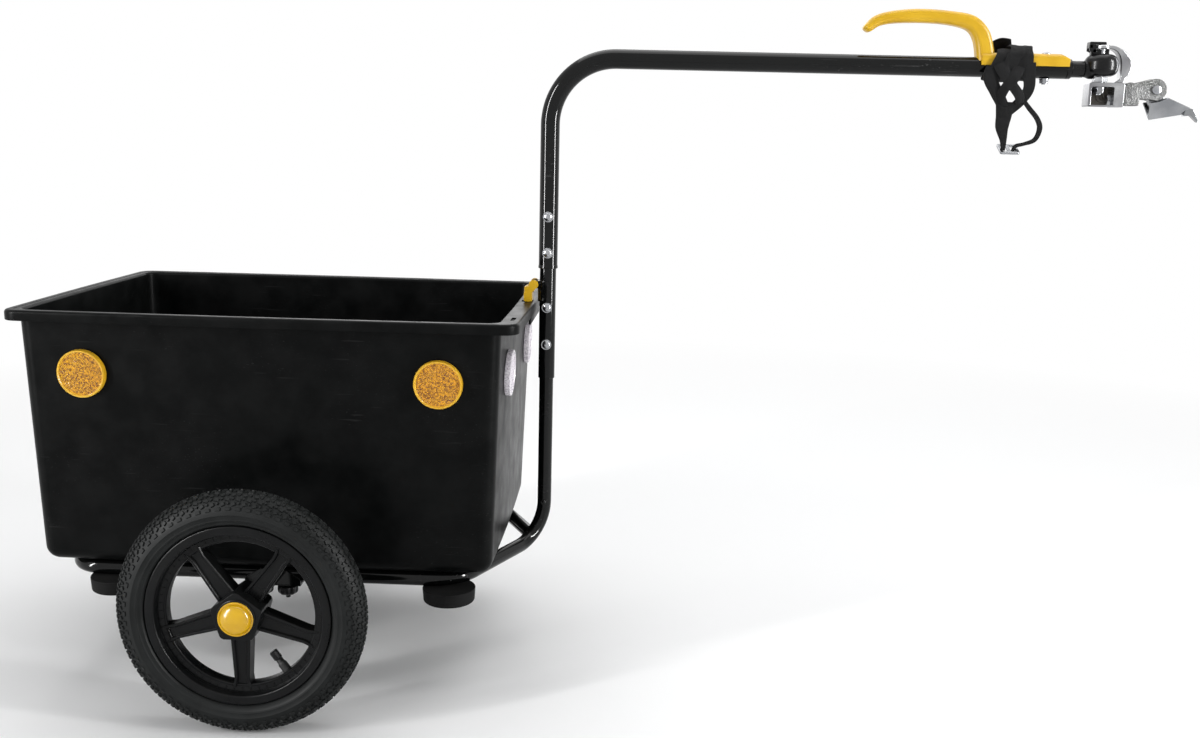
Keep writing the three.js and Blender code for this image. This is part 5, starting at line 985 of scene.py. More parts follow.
def wheel_casting():
    shares = [i / SPOKE_STEPS for i in range(SPOKE_STEPS + 1)]
    radii = [SPOKE_START + (SPOKE_END - SPOKE_START) * i / SPOKE_STEPS for i in range(SPOKE_STEPS + 1)]
    parts = [rim_channel()]
    for angle in SPOKE_ANGLES:
        a = math.radians(angle)
        way = Vector((math.cos(a), 0, math.sin(a)))
        frames = frames_along([way * r for r in radii], (-way.z, 0, way.x))
        parts.append(sweep([spoke_section(share) for share in shares], frames))
    corners = arc(0, 0, 33, SPOKE_ANGLES[0] + 36, SPOKE_ANGLES[-1] + 36, 4)
    hub = prism(bent(corners, 7, 6, True), -23, 22, "Y", 1.4)
    raised = lathe([(16, 0), (23.2, 0), (23.2, -1), (22.4, -1.6), (16, -1.6)], 64, (0, 1, 0),
                   (0, -23, 0), True)
    bore = lathe([(0, -30), (14.3, -30), (14.3, 30), (0, 30)], 48, (0, 1, 0))
    parts += [carve(hub, bore), raised]
    for i in range(RIM_RIBS):
        turn = Matrix.Rotation(math.tau * i / RIM_RIBS, 4, "Y")
        for face in (-1, 1):
            parts.append(moved(block((92.4, face * 7 - 1.6, -0.45), (96.4, face * 7 + 1.6, 0.45)), turn))
    return join(*parts)


set_on_wheels("wheel_moulding", wheel_casting(), "rim_plastic", "rim", smooth=30)

# %% [markdown]
# A yellow cap snaps over the axle nut and keeps the rain out of the bearings. A rubber valve stem with a
# screw cap stands out of the rim's inner side, in the gap between two spokes, where a pump can reach it.

# %% Hub cap, valve stem and valve cap
CAP_RADIUS, CAP_RISE = 18.4, 10
cap_angles = [math.pi / 2 * k / 12 for k in range(12)]
cap_section = [(14, 0.4), (21, 0.4), (21, 2.4), (20.5, 2.9), (19.4, 2.9), (18.9, 2.3), (18.6, 2.4)]
cap_section += [(CAP_RADIUS * math.cos(a), 2.8 + CAP_RISE * math.sin(a)) for a in cap_angles]
cap_section += [(0, 12.8)]
set_on_wheels("hub_cap_dome", lathe(cap_section, 64, (0, -1, 0), (0, -23, 0)), "cap_plastic", "hub_cap")

VALVE_ANGLE = math.radians(-54)
valve_way = Vector((math.cos(VALVE_ANGLE), 0, math.sin(VALVE_ANGLE)))
stem_section = [(0, 66), (3.6, 66)]
for i in range(9):
    stem_section += [(4.3, 67 + i * 1.0), (3.9, 67.5 + i * 1.0)]
stem_section += [(4.5, 77), (5.2, 79), (5.4, 89), (0, 89)]
cap_ring = [(0, 59.5), (3.6, 59.5), (4.8, 60.4), (5.1, 62), (5.1, 70.6), (4.6, 71.2), (0, 71.2)]
set_on_wheels("valve_stem", lathe(stem_section, 28, valve_way), "tube_rubber")
set_on_wheels("valve_cap", lathe(cap_ring, 12, valve_way), "knob_plastic", smooth=20)
print("wheels set")

# %% [markdown]
# Reflectors bend light back through hundreds of tiny prisms moulded in the lens. A grid of small squares is
# cut to a disc and each square is raised to a point with poke, so that the glitter comes from real facets,
# inside a plain rim that catches the light. The lens finishes add painted shade on the prism facets, and
# the amber and red lenses a faint painted glow from emission.

# %% One reflector
PRISM_CELLS = 27


def reflector_parts():
    rim = lathe([(26.6, 0), (30, 0), (30, 5.6), (29.2, 7), (27.8, 7), (27, 6), (26.6, 4.6)], 72, closed=True)
    back = lathe([(0, 0), (27.2, 0), (27.2, 4.9), (0, 4.9)], 48)
    prisms = bmesh.new()
    bmesh.ops.create_grid(prisms, x_segments=PRISM_CELLS, y_segments=PRISM_CELLS, size=27)
    outside = [f for f in prisms.faces if f.calc_center_median().length > 26]
    bmesh.ops.delete(prisms, geom=outside, context="FACES")
    bmesh.ops.poke(prisms, faces=prisms.faces, offset=0.8, center_mode="MEAN")
    moved(prisms, Matrix.Translation((0, 0, 4.95)) @ Matrix.Rotation(0.5, 4, "Z"))
    return rim, join(back, prisms)


# %% [markdown]
# The walls lean outwards and bow, so each reflector is turned to lie flat on its wall: first for the bow at
# its place along the wall, then for the wall's lean.

# %% Seats on the walls
def bow_turn(bow, share, span):
    return math.atan(bow * math.pi * math.cos(math.pi * share) / span)


def wall_lean(key):
    return math.atan(abs(HIGH_WALLS[key] - LOW_WALLS[key]) / (WALL_TOP - TUB_FLOOR))


REFLECTOR_Z = 408.1
seat_walls = walls_at(REFLECTOR_Z)
long_span = seat_walls["front"] - seat_walls["rear"] - 2 * TUB_CORNER
end_span = 2 * (seat_walls["half"] - TUB_CORNER)


def side_seat(way, x):
    share = (x - seat_walls["rear"] - TUB_CORNER) / long_span
    seat = seat_walls["half"] + SIDE_BOW * math.sin(math.pi * share) + 0.6
    return (Matrix.Translation((x, way * seat, REFLECTOR_Z))
            @ Matrix.Rotation(way * bow_turn(SIDE_BOW, share, long_span), 4, "Z")
            @ Matrix.Rotation(-way * (math.pi / 2 + wall_lean("half")), 4, "X"))


def end_seat(end, y):
    key = "front" if end > 0 else "rear"
    share = (y + end_span / 2) / end_span
    seat = abs(seat_walls[key]) + END_BOW * math.sin(math.pi * share) + 0.6
    return (Matrix.Translation((end * seat, y, REFLECTOR_Z))
            @ Matrix.Rotation(-end * bow_turn(END_BOW, share, end_span), 4, "Z")
            @ Matrix.Rotation(end * (math.pi / 2 + wall_lean(key)), 4, "Y"))


for word, way in SIDES.items():
    for place, matrix, lens, ring in (
            ("front_side", side_seat(way, 215.3), "amber_lens", "amber_rim"),
            ("rear_side", side_seat(way, -223.9), "amber_lens", "amber_rim"),
            ("front", end_seat(1, way * 115), "clear_lens", "clear_lens"),
            ("rear", end_seat(-1, way * 130), "red_lens", "red_lens")):
        name = f"{word}_{place}_reflector"
        rim, face = reflector_parts()
        set_piece(name + "_lens", moved(face, matrix), lens, [name], smooth=8)
        set_piece(name + "_rim", moved(rim, matrix), ring)
print("reflectors set")

# %% [markdown]
# The tub clip is a yellow lever that hangs from a small band round the mast and hooks the tub's front rim,
# so the tub stays on the frame and comes off in a moment. The band and its ears are one bent strip, the pin
# is riveted, and the lever is moulded with two cheeks that cover the ears.

# %% Clip, band and pin
CLIP_X, CLIP_Z = 311.7, 509
band = prism(arc(MAST_X, 0, 13.4, 75, 285, 28) + arc(MAST_X, 0, 11.4, 285, 75, 28), 486, 514, "Z", 0.4)
ear = arc(CLIP_X, CLIP_Z, 5.2, 90, 270, 12) + [(320.5, CLIP_Z - 5.2), (320.5, CLIP_Z + 5.2)]
ears = [plate(ear, way, 6.3, 8.3, 0.4) for way in (-1, 1)]
set_piece("clip_band", join(band, *ears), "frame_paint", ["clip_bracket"])
pin = [(0, -10.2), (2.4, -10.2), (2.8, -9.6), (2.8, -8.7), (2, -8.6), (2, 8.6), (2.8, 8.7), (2.8, 9.6),
       (2.4, 10.2), (0, 10.2)]
set_piece("clip_pin_set", lathe(pin, 24, (0, 1, 0), (CLIP_X, 0, CLIP_Z)), "zinc_plate", ["clip_pin"])
lever = arc(CLIP_X, CLIP_Z, 4.5, 180, -60, 12) + [(311.5, 499), (310, 497), (298.5, 497), (298.5, 505)]
knuckle = prism(lever, -6, 6, "Y", 0.8)
leg = prism([(310, 500), (310, 486.4), (308.8, 485.9), (299.8, 485.9), (298.5, 487), (298.5, 498),
             (300, 500)], -12, 12, "Y", 1.0)
nib = block((300, -6, 482.9), (308, 6, 488.9), 0.5)
cover = arc(CLIP_X, CLIP_Z, 6.4, -20, 200, 16) + [(300.4, 506), (299, 499), (310.5, 499)]
covers = [plate(cover, way, 10.5, 12, 0.5) for way in (-1, 1)]
set_piece("tub_clip_lever", join(knuckle, leg, nib, *covers), "yellow_plastic", ["tub_clip"], "tub_clip")
print("clip set")

# %% [markdown]
# The pull handle is one hollow yellow moulding: a saddle that a screw holds on the drawbar, and a grip that
# rises from it and runs back, drooping to a bulb at its free end. Its upper and lower edges are two smooth
# lines, in shares of its length and rise, and rounded sections stand between them.

# %% Grip
HANDLE_END, HANDLE_TOE = 733.6, 903
SADDLE_TOP, HANDLE_TOP, SADDLE_DEPTH = 825.5, 877.5, 16
GRIP_HALF = 12
SCREW_X = 969
UPPER_EDGE = [(0, 0.587), (0.078, 0.833), (0.321, 0.998), (0.65, 0.975), (0.834, 0.854), (0.939, 0.527),
              (0.989, 0.035), (1, -0.53)]
LOWER_EDGE = [(0.051, 0.452), (0.13, 0.604), (0.374, 0.685), (0.664, 0.635), (0.787, 0.51), (0.835, 0.279),
              (0.859, -0.286), (0.864, -0.657)]


def grip_edge(shares):
    """A smooth edge through shares of the handle's length, and of its rise or its saddle's depth."""
    length, rise = HANDLE_TOE - HANDLE_END, HANDLE_TOP - SADDLE_TOP
    return flowing([(HANDLE_END + a * length, 0, SADDLE_TOP + u * (SADDLE_DEPTH if u < 0 else rise))
                    for a, u in shares], 8)


def grip():
    stages = []
    for top, low in zip(grip_edge(UPPER_EDGE), grip_edge(LOWER_EDGE)):
        middle, out = (top + low) / 2, (top - low) / 2
        half = out.length
        out = out.normalized()
        size = min(7.0, half * 0.95)
        loop = []
        for k, (u, v) in enumerate(((1, 1), (-1, 1), (-1, -1), (1, -1))):
            loop += arc(u * (half - size), v * (GRIP_HALF - size), size, 90 * k, 90 * k + 90, 6)
        stages.append([middle + out * u + Vector((0, v, 0)) for u, v in loop])
    first = stages[0]
    centre = sum(first, Vector()) / len(first)
    back = (centre - sum(stages[2], Vector()) / len(first)).normalized()
    ends = [[centre + back * push + (p - centre) * size for p in first]
            for size, push in ((0.3, 4.2), (0.62, 3.5), (0.84, 2.3), (0.95, 1.1))]
    return rings(ends + stages)


# %% [markdown]
# The saddle is a channel that lies on the tube, so it is an outline with the tube's own arc, pushed out
# along the drawbar and cut on a slope at its front. A socket screw through the tube holds it, with a
# washer and a nut below.

# %% Saddle and screw
def saddle():
    outline = [(15.6, 809.5)] + arc(7.6, 817.5, 8, 0, 90, 8) + arc(-7.6, 817.5, 8, 90, 180, 8)
    outline += [(-15.6, 809.5)] + arc(0, DRAWBAR_Z, 12.95, 171, 9, 24)
    bm = prism(outline, 884, 996, "X", 0.7)
    slope = Vector((6.7, 0, 11)).normalized()
    bmesh.ops.bisect_plane(bm, geom=bm.verts[:] + bm.edges[:] + bm.faces[:], plane_co=(985, 0, SADDLE_TOP),
                           plane_no=slope, clear_outer=True)
    bmesh.ops.holes_fill(bm, edges=[e for e in bm.edges if e.is_boundary])
    return bm


set_piece("pull_handle", join(grip(), saddle()), "yellow_plastic", ["handle"], smooth=42)
at_screw = Matrix.Translation((SCREW_X, 0, 0))
head = carve(moved(lathe(dome(5.5, 2.7, 0.9), 36, at=(0, 0, SADDLE_TOP + 0.1)), at_screw),
             moved(prism(hexagon(3.4), SADDLE_TOP + 1, SADDLE_TOP + 6, "Z"), at_screw))
low_nut = moved(prism(hexagon(10), 788.6, 793.8, "Z", 0.4), at_screw)
washer = lathe([(0, 793.2), (6.5, 793.2), (6.5, 794.6), (0, 794.6)], 36, at=(SCREW_X, 0, 0))
tip = lathe([(0, 787.3), (2.6, 787.3), (3, 787.8), (3, 789), (0, 789)], 24, at=(SCREW_X, 0, 0))
set_piece("handle_screw_set", join(head, low_nut, washer, tip), "zinc_plate", ["handle_bolt"])
print("handle set")

# %% [markdown]
# The hitch lets the bicycle lean, turn and pitch without lifting the trailer. A plug in the drawbar holds a
# spindle on which the moulded head rolls, and a latch on the head keeps the arm from rising. Plug and head
# are turned shapes, and the latch is a bent hook between two cheeks.

# %% Neck, head and latch
HEAD_X, HEAD_Z = 1040, 813
LATCH_X, LATCH_Z = 1028.2, 830.6

neck = [(0, 990), (11, 990), (11, 995.4), (12.3, 995.4), (12.7, 996), (12.6, 1000.6), (12, 1001.4),
        (10.6, 1001.9), (10.4, 1008), (10.5, 1016.9), (10.0, 1017.4), (0, 1017.4)]
set_piece("neck_plug", lathe(neck, 48, (1, 0, 0), (0, 0, DRAWBAR_Z)), "knob_plastic",
          ["coupling_neck"])

head_section = [(4.3, HEAD_Z - 14)] + arc(11.3, HEAD_Z - 4, 10, -90, 0, 8)
head_section += arc(9.3, HEAD_Z + 2, 12, 0, 90, 9) + [(4.3, HEAD_Z + 14)]
ball = lathe(head_section, 56, at=(HEAD_X, 0, 0), closed=True)
collar = lathe([(0, 1017.8), (9.6, 1017.8), (10.4, 1018.4), (10.9, 1021), (12.6, 1025.5), (12.6, 1030),
                (0, 1030)], 44, (1, 0, 0), (0, 0, DRAWBAR_Z + 0.6))
boss = block((1025, -3.5, 822), (1048, 3.5, 833), 0.8)
trunnion = lathe([(0, -6), (2, -6), (2, 6), (0, 6)], 20, (0, 1, 0), (LATCH_X, 0, LATCH_Z))
set_piece("swivel_head", join(ball, collar, boss, trunnion), "knob_plastic", ["coupling_head"],
          "coupling_head", smooth=40)

hook = [(1042.9, 838.4), (1042.9, 841), (1041.9, 842), (1022.6, 842), (1021.7, 841), (1021.7, 833.6),
        (1025.9, 833.6), (1025.9, 837.4), (1026.9, 838.4)]
cheek = [(1021.7, 838.2), (1021.7, LATCH_Z)] + arc(LATCH_X, LATCH_Z, 3.3, 210, 330, 8) + [(1030, 838.2)]
cheeks = [plate(cheek, way, 3.9, 6, 0.3) for way in (-1, 1)]
set_piece("latch_hook", join(prism(hook, -6, 6, "Y", 0.6), *cheeks), "knob_plastic", ["hitch_latch"],
          "hitch_latch")
print("neck, head and latch set")

# %% [markdown]
# A bright arm reaches over the head, is welded to a bracket below it, and both swing about the upright pin
# that runs through them. The arm is cut from a thick bar and bent, so it is an outline pushed out to its
# width, with well rounded edges. The bracket is a strip bent into a stirrup.

# %% Arm and bracket
ARM_REACH, ARM_RISE = 36.8, 27
ARM_INNER_REACH, ARM_INNER_RISE = 23.6, 21.6
ARM_TOP = 837.9
BRACKET_TOP, BRACKET_LOW = 791.3, 760.5

shoulder = HEAD_Z - 1
outer_curve, inner_curve = [], []
for i in range(15):
    a = math.pi / 2 * i / 14
    outer_curve.append((HEAD_X + max(ARM_REACH * math.cos(a), 5),
                        min(shoulder + ARM_RISE * math.sin(a), ARM_TOP)))
    inner_curve.append((HEAD_X + max(ARM_INNER_REACH * math.cos(a) ** 0.6, 5),
                        shoulder + ARM_INNER_RISE * math.sin(a)))
heel = [(HEAD_X + ARM_REACH * math.cos(a), shoulder + ARM_RISE * math.sin(a)) for a in (-0.42, -0.28, -0.14)]
toe = [(1063.6, 796.3), (1056, 791), (1069, 791), (1070.2, 796.3)]
arm = soften(prism(heel + outer_curve + inner_curve[::-1] + toe, -7.5, 7.5), 2.2, 3, 50)
tip_disc = lathe([(4.3, 833.3), (8.6, 833.3), (9.5, 834.1), (9.5, 837.1), (8.6, ARM_TOP), (4.3, ARM_TOP)],
                 40, at=(HEAD_X, 0, 0), closed=True)
stirrup = [(1024, BRACKET_LOW), (1024, BRACKET_TOP), (1069, BRACKET_TOP), (1069, BRACKET_LOW),
           (1056, BRACKET_LOW), (1056, BRACKET_TOP - 5.7), (1027.5, BRACKET_TOP - 5.7),
           (1027.5, BRACKET_LOW)]
bracket = soften(prism(bent(stirrup, [1.5, 3, 3, 2, 2, 2, 2, 1.5], 3, True), -12, 12), 0.8, 2, 50)
sill = block((1025, -12, BRACKET_LOW), (1058, -10.4, BRACKET_LOW + 2.4), 0.4)
set_piece("hitch_arm_and_bracket", join(arm, tip_disc, bracket, sill), "yoke_metal", ["hitch_yoke"],
          "hitch_yoke", smooth=40)
# The web is painted shade: a plate in dark steel put in the bracket's recess to stand for its shade.
web = block((1026.5, 10, BRACKET_LOW + 0.5), (1057, 11.6, BRACKET_TOP - 4), 0.4)
boss_ring = lathe([(3, 0), (6.4, 0), (7, 0.6), (6.4, 1.4), (3.6, 1.6), (3, 1)], 32, (0, -1, 0),
                  (1047, 10, 774), True)
set_piece("recess_shade_web", join(web, boss_ring), "recess_shade_steel", (), "hitch_yoke")

# %% [markdown]
# The upright pin carries the pull, so it is a thick turned bolt: a hexagonal collar between head and bracket
# keeps them apart, and a flanged nut holds it from below.

# %% Upright pin
at_head = Matrix.Translation((HEAD_X, 0, 0))
pin_shank = lathe([(0, 775.5), (3.4, 775.5), (4, 776.2), (4, 837.4), (3.2, 838.2), (0, 838.2)], 32,
                  at=(HEAD_X, 0, 0))
pin_collar = moved(prism(hexagon(17, 30), 791.7, 798.3, "Z", 0.5), at_head)
pin_nut = moved(prism(hexagon(13), 777.3, 784.6, "Z", 0.5), at_head)
pin_flange = lathe([(4, 783.8), (8.5, 783.8), (8.5, 785.3), (4, 785.3)], 40, at=(HEAD_X, 0, 0), closed=True)
set_piece("upright_pin_set", join(pin_shank, pin_collar, pin_nut, pin_flange), "bare_steel", ["kingpin"],
          "hitch_yoke")
print("arm, bracket and pin set")

# %% [markdown]
# The knuckle is a rough casting with two lugs, bored across for the jaw's pin. Its lugs are plates with
# round ends, joined to a block, and its finish gives it the skin of the sand.

# %% Knuckle
EYE_X, EYE_Z = 1109.3, 783.4
base = block((1069.3, -12, 762.7), (1089.7, 12, 791), 2.2)
lug = [(1083, EYE_Z - 12), (EYE_X - 7, EYE_Z - 12.6)] + arc(EYE_X, EYE_Z, 14, -108, 112, 24)
lug.append((1083, EYE_Z + 7.5))
lugs = [plate(lug, way, 5, 11.6, 1.6) for way in (-1, 1)]
web = block((1086, -11.1, EYE_Z - 11.5), (1091.7, 11.1, EYE_Z + 7), 0.8)
bump = lathe(dome(4.5, 2.0), 24, at=(1080, 0, 790.6))
set_piece("cast_knuckle", join(base, web, bump, *lugs), "cast_metal", ["hinge_knuckle"], "hitch_yoke")
half_pin = [(0, 14.4), (3.6, 14.2), (5.6, 13.2), (6, 12.3), (4, 12.3)]
cross_pin = [(r, -y) for r, y in half_pin] + half_pin[::-1]
set_piece("cross_pin_set", lathe(cross_pin, 40, (0, 1, 0), (EYE_X, 0, EYE_Z)), "zinc_plate", ["knuckle_pin"],
          "hitch_yoke")
print("knuckle set")

# %% [markdown]
# The jaw is one pressed sheet, folded along its lower edge into two wings that close round the towing bar.
# Its flat outline is mirrored about the fold, rounded there as a press leaves it, and given its thickness
# afterwards, so the two wings keep the same gauge. A tongue inside it hangs from the pin.

# %% Jaw
REAR_FOOT, FRONT_FOOT = (1108, 744.4), (1161.6, 754.2)
FRONT_SHOULDER, CROWN, REAR_SHOULDER = (1158, 761), (1124, 773), (1103, 766.5)
JAW_THICKNESS, FOLD_ROUND, CROWN_HALF = 2.6, 2.4, 15


def fold_z(x):
    """The height of the fold line."""
    (rear_x, rear_z), (front_x, front_z) = REAR_FOOT, FRONT_FOOT
    return rear_z + (front_z - rear_z) * (x - rear_x) / (front_x - rear_x)


slant = CROWN_HALF / (CROWN[1] - fold_z(CROWN[0]))
upper_edge = bent([FRONT_SHOULDER, CROWN, (1113, 768), REAR_SHOULDER], [0, 6, 6, 0], 5)
wing_edge = [FRONT_FOOT, FRONT_SHOULDER] + [tuple(p.xy) for p in upper_edge[1:-1]]
wing_edge += [REAR_SHOULDER, REAR_FOOT]


def jaw_sheet():
    """Two wings of one sheet that meet on the fold line."""
    bm = bmesh.new()
    for way in (-1, 1):
        bm.faces.new([bm.verts.new((x, way * slant * (z - fold_z(x)), z)) for x, z in wing_edge])
    bmesh.ops.remove_doubles(bm, verts=bm.verts, dist=0.01)
    bmesh.ops.recalc_face_normals(bm, faces=bm.faces)
    fold = [e for e in bm.edges if len(e.link_faces) == 2]
    bmesh.ops.bevel(bm, geom=fold, offset=FOLD_ROUND, segments=4, profile=0.5, affect="EDGES", material=-1)
    if sum(f.normal.z * f.calc_area() for f in bm.faces) > 0:
        bmesh.ops.reverse_faces(bm, faces=bm.faces)
    bmesh.ops.solidify(bm, geom=bm.faces[:], thickness=JAW_THICKNESS)
    bmesh.ops.recalc_face_normals(bm, faces=bm.faces)
    return soften(bm, 0.5, 2, 50)


tongue = [(1110.6, 754), (1134, fold_z(1134) + 8.2), (1124, 767.8)] + arc(EYE_X, EYE_Z, 11, -20, 200, 18)
tail = [(1150, fold_z(1150) - 0.8), (1159, fold_z(1159) - 1.5), (1168.9, 743.6), (1168.9, 747.6),
        (1161.6, 760.6), (1152, 762.4)]
jaw = join(jaw_sheet(), prism(tongue, -4.7, 4.7, "Y", 0.5), prism(tail, -4, 4, "Y", 0.6))
set_piece("sheet_jaw", jaw, "bare_steel", ["clamp_jaw"], "clamp_jaw")
print("jaw set")

# %% [markdown]
# The safety strap is flat nylon webbing, about 30 mm wide, wound round the drawbar and the handle's saddle.
# Webbing is woven flat, so it is a thin section with slightly cupped, rounded edges, carried along its
# route. Smooth noise then moves its points a little, because worn cloth never lies quite flat.

# %% Webbing
def strip_section(width, thickness, columns=10, cup=0.0):
    """A thin flat section with rounded edges. Its middle may be cupped."""
    top, low = [], []
    for k in range(columns + 1):
        s = 2 * k / columns - 1
        edge = thickness / 2 * (1 - 0.45 * abs(s) ** 8)
        top.append((s * width / 2, edge + cup * (1 - s * s)))
        low.append((s * width / 2, cup * (1 - s * s) - edge))
    return top + low[::-1]


def ripple(bm, height, size, seed):
    """Move every point along its normal by smooth noise, as worn cloth lies."""
    bm.normal_update()
    for vert in bm.verts:
        where = Vector((vert.co.x / size, vert.co.y / size + seed, vert.co.z / size))
        vert.co += vert.normal * noise.noise(where) * height
    return bm


def ribbon(points, widths, thickness=1.5, cup=0.0):
    """A strip of webbing along a smooth line. Its width changes evenly through the list of widths."""
    frames = frames_along(flowing(points, 7), (1, 0, 0))
    sections = []
    for i in range(len(frames)):
        place = i / (len(frames) - 1) * (len(widths) - 1)
        k = min(int(place), len(widths) - 2)
        width = widths[k] + (widths[k + 1] - widths[k]) * (place - k)
        sections.append(strip_section(width, thickness, cup=cup))
    return sweep(sections, frames)


def band_round(x, top, lean, width, grow_by=0.0):
    """One turn of webbing round the tube and the saddle, leaning along X."""
    low = 791.6 - grow_by
    centre, half = (top + grow_by + low) / 2, (top + grow_by - low) / 2
    reach, size = 18.1 + grow_by, 14.3 + grow_by
    loop = []
    for k, (u, v) in enumerate(((1, 1), (-1, 1), (-1, -1), (1, -1))):
        loop += arc(u * (reach - size), v * (half - size), size, 90 * k, 90 * k + 90, 8)
    slope = math.tan(math.radians(lean))
    line = [Vector((x + slope * z, y, centre + z)) for y, z in loop]
    ways = [(after - before).normalized() for before, after in zip(line[-1:] + line, line[1:] + line[:1])]
    frames = [stand(point, way, Vector((1, 0, 0))) for point, way in zip(line, ways)]
    return sweep(strip_section(width, 1.6), frames, closed=True)


# %% [markdown]
# Three turns hold it, the last narrower and on top. In front of the tube four ends cross each other to a
# knot, and below it hang the tail and a thin loop. Each strip is a list of points read from the photo with
# the fitted camera: along the bar, in front of the knot's plane, and up.

# %% The strap as it is wound
NEAR = -20.5
STRIPS = (
    (((899, 2, 806), (895, 0, 794), (903, -1, 777), (913, 0, 760), (917, 0, 746)),
     (20, 18, 16, 15, 13), 1.5, 0.8),
    (((941, 2, 812), (944, -1, 795), (944, -2, 780), (936, -1, 766), (922, 0, 752)),
     (22, 16, 14, 13, 12), 1.5, -0.6),
    (((906, 1, 812), (914, -3, 796), (924, -4, 783), (933, -3, 771), (935, -1, 762)),
     (18, 16, 13, 13, 12), 1.5, 0.7),
    (((931, 1, 808), (924, -5, 794), (914, -6, 782), (909, -3, 768), (914, 0, 757)),
     (16, 14, 12, 13, 12), 1.5, 0.5),
    (((917, 0, 764), (916, 0, 746), (915, 0, 732), (918, 0.5, 716), (919.2, 1, 702)),
     (25, 20, 17, 9, 4.5), 1.8, 0.0),
    (((938, 0, 768), (947, 0, 757), (959, 0, 743), (963, 0, 732), (958, 0, 717), (944, 0, 711),
      (934, 0, 708), (930.8, 0, 701)), (5, 6, 6.5, 7, 6, 4.5, 5, 4.5), 2.0, 0.0))

strap = [ripple(band_round(911.5, 830, 20, 28), 1.8, 9, 3), ripple(band_round(935, 835, -3, 27), 1.8, 8, 8),
         ripple(band_round(921, 833, 24, 17, 1.7), 1.6, 7, 5)]
for route, widths, thickness, cup in STRIPS:
    strap.append(ribbon([(x, NEAR + depth, z) for x, depth, z in route], widths, thickness, cup))
strap.append(ribbon([(906, 16, 826), (909, 15, 833), (915, 11, 838), (925, 5, 838.5)], (20, 21, 17, 12)))
set_piece("wound_strap", join(*strap), "strap_webbing", ["safety_strap"], smooth=60)
print("strap set,", len(STRIPS) + 4, "strips")

# %% [markdown]
# The slide buckle is stamped from plate, with two windows and a bar between them that the webbing grips. It
# hangs at the strap's lower end and is turned a little, as the tail twists it.

# %% Slide buckle
BUCKLE_X, BUCKLE_Y, BUCKLE_Z = 925.5, -19, 704
BUCKLE_HALF_LENGTH, BUCKLE_HALF_WIDTH, BUCKLE_TURN = 12.5, 13, 24

plate_outline = bent(oblong(BUCKLE_X, BUCKLE_Y, BUCKLE_HALF_LENGTH, BUCKLE_HALF_WIDTH), 3, 5, True)
windows = [block((BUCKLE_X + a, BUCKLE_Y - 9, 690), (BUCKLE_X + b, BUCKLE_Y + 9, 720))
           for a, b in ((-8.5, -2), (2, 8.5))]
buckle = soften(carve(prism(plate_outline, BUCKLE_Z - 1.6, BUCKLE_Z + 1.6, "Z"), *windows), 0.6, 2, 50)
middle = Matrix.Translation((BUCKLE_X, BUCKLE_Y, BUCKLE_Z))
moved(buckle, middle @ Matrix.Rotation(math.radians(BUCKLE_TURN), 4, "X") @ middle.inverted())
set_piece("slide_buckle", buckle, "zinc_plate", ["strap_buckle"])
print("buckle set")

# %% [markdown]
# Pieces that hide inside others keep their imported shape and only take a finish: the axle, its spacer tube,
# nuts, bearings, inner tubes, the cross bars under the tub and the bolt in the hitch.

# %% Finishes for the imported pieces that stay
KEPT = {"axle_rod": "zinc_plate", "axle_spacer_tube": "frame_paint", "front_cross_bar": "frame_paint",
        "rear_cross_bar": "frame_paint", "knuckle_bolt": "bare_steel"}
for word in SIDES:
    KEPT.update({f"{word}_axle_nut": "zinc_plate", f"{word}_inner_tube": "tube_rubber",
                 f"{word}_wheel_bearings": "bare_steel"})
for name, finish in KEPT.items():
    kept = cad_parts[name]
    kept.data.materials.clear()
    kept.data.materials.append(FINISHES[finish])
print(len(KEPT), "packed pieces kept,", len(MADE), "made")

# %% [markdown]
# The stage is a plain pale floor that keeps the trailer's shadow and turns to white away from it, under a
# white surround. Light Path makes both white only where the camera, a mirror or glass looks at them, so
# that the background throws no more light on the trailer.

# %% Floor and surround
WHITE = (1.0, 1.0, 1.0, 1.0)
FLOOR_COLOUR = (0.93, 0.93, 0.93, 1.0)
SKY_COLOUR = (0.3, 0.305, 0.31, 1.0)
FADE_START, FADE_END = 0.9, 2.6


def seen_directly(tree):
    """1 for rays from the camera, mirrors and glass."""
    path = place_node(tree, "ShaderNodeLightPath").outputs
    direct = maths(tree, "MAXIMUM", path["Is Camera Ray"], path["Is Glossy Ray"])
    return maths(tree, "MAXIMUM", direct, path["Is Transmission Ray"])


def blend_out(tree, share, shader, white, output):
    """Turn a shader to white by a share, and send the result to the output."""
    mixed = place_node(tree, "ShaderNodeMixShader", {0: share, 1: shader.outputs[0], 2: white.outputs[0]})
    tree.links.new(mixed.outputs[0], tree.nodes[output].inputs["Surface"])


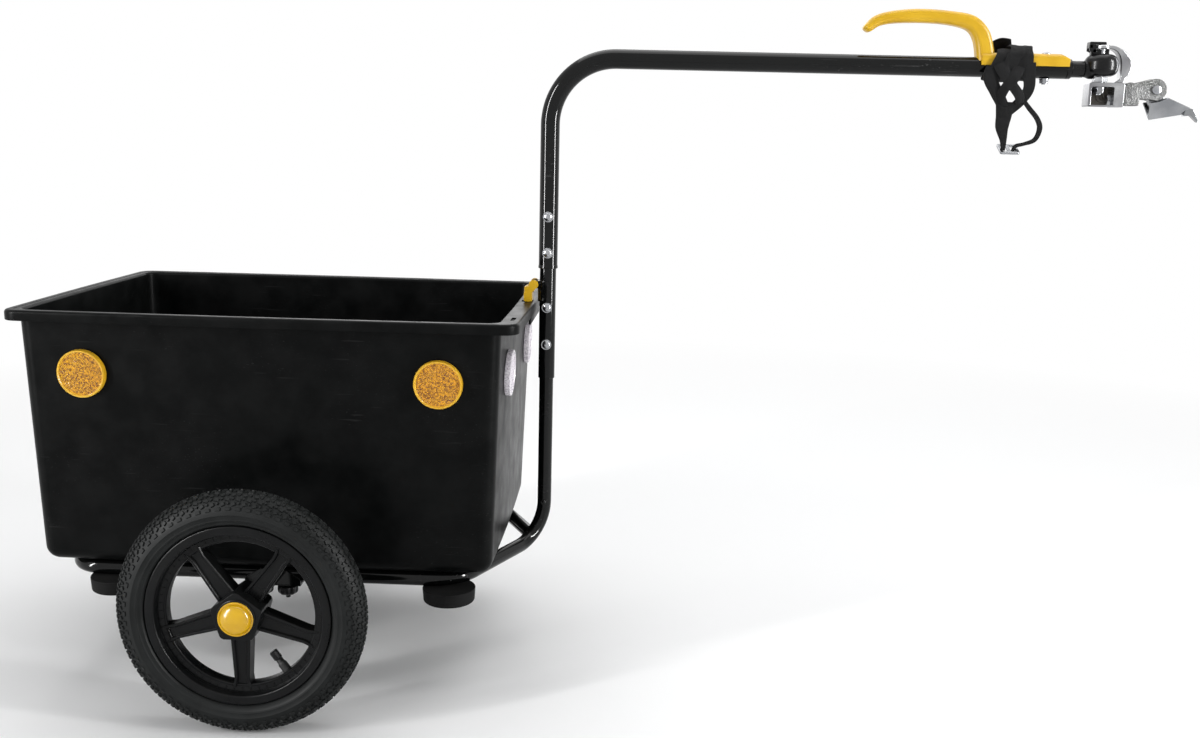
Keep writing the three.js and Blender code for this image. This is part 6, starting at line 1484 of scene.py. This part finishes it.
sheet = bmesh.new()
bmesh.ops.create_grid(sheet, x_segments=1, y_segments=1, size=40)
floor = as_object("studio_floor", sheet)
pale = bpy.data.materials.new("pale_floor")
pale.use_nodes = True
tree = pale.node_tree
matt = tree.nodes["Principled BSDF"]
for socket, value in (("Base Color", FLOOR_COLOUR), ("Roughness", 0.7), ("Specular IOR Level", 0.1)):
    matt.inputs[socket].default_value = value
spot = place_node(tree, "ShaderNodeTexCoord").outputs["Object"]
away = place_node(tree, "ShaderNodeVectorMath", {0: spot}, operation="LENGTH").outputs["Value"]
fade = maths(tree, "MULTIPLY", remap(tree, away, FADE_START, FADE_END), seen_directly(tree))
glow = place_node(tree, "ShaderNodeEmission", {"Color": WHITE, "Strength": 1.0})
blend_out(tree, fade, matt, glow, "Material Output")
floor.data.materials.append(pale)

world = bpy.data.worlds.new("surround")
bpy.context.scene.world = world
world.use_nodes = True
tree = world.node_tree
sky = tree.nodes["Background"]
sky.inputs["Color"].default_value = SKY_COLOUR
white_sky = place_node(tree, "ShaderNodeBackground", {"Color": WHITE, "Strength": 1.0})
blend_out(tree, seen_directly(tree), sky, white_sky, "World Output")
print("floor fades to white from", FADE_START, "to", FADE_END, "m")

# %% [markdown]
# Black gloss shows only what it mirrors. Two tall soft boxes left and right of the camera light the near
# side, and a strip before each shows in gloss alone, as the twin white lines along the mast. A wide box
# hangs overhead and another stands behind for the light edge on the wheel's rim.

# %% Soft boxes
LAMPS = {"overhead": ((0.1, 0.5, 3.0), 0.3, 3.2, 2.6, 58),
         "right_box": ((2.9, -1.2, 1.1), 0.5, 0.15, 2.2, 66),
         "left_box": ((-2.7, -1.9, 1.2), 0.5, 0.15, 2.2, 54),
         "right_strip": ((2.8, -1.15, 1.1), 0.5, 0.28, 2.2, 105),
         "left_strip": ((-2.6, -1.83, 1.2), 0.5, 0.26, 2.2, 90),
         "far_box": ((0.2, 3.4, 1.5), 0.4, 4.5, 1.3, 26)}
for name, (at, aim, width, height, power) in LAMPS.items():
    data = bpy.data.lights.new(name, "AREA")
    data.shape = "RECTANGLE"
    data.size, data.size_y, data.energy = width, height, power
    lamp = bpy.data.objects.new(name, data)
    way = Vector((0, 0, aim)) - Vector(at)
    lamp.matrix_world = Matrix.Translation(at) @ way.to_track_quat("-Z", "Y").to_matrix().to_4x4()
    lamp.visible_camera = False
    lamp.visible_diffuse = not name.endswith("strip")
    bpy.context.scene.collection.objects.link(lamp)
bpy.context.scene.view_settings.view_transform = "Standard"
print(len(LAMPS), "soft boxes")
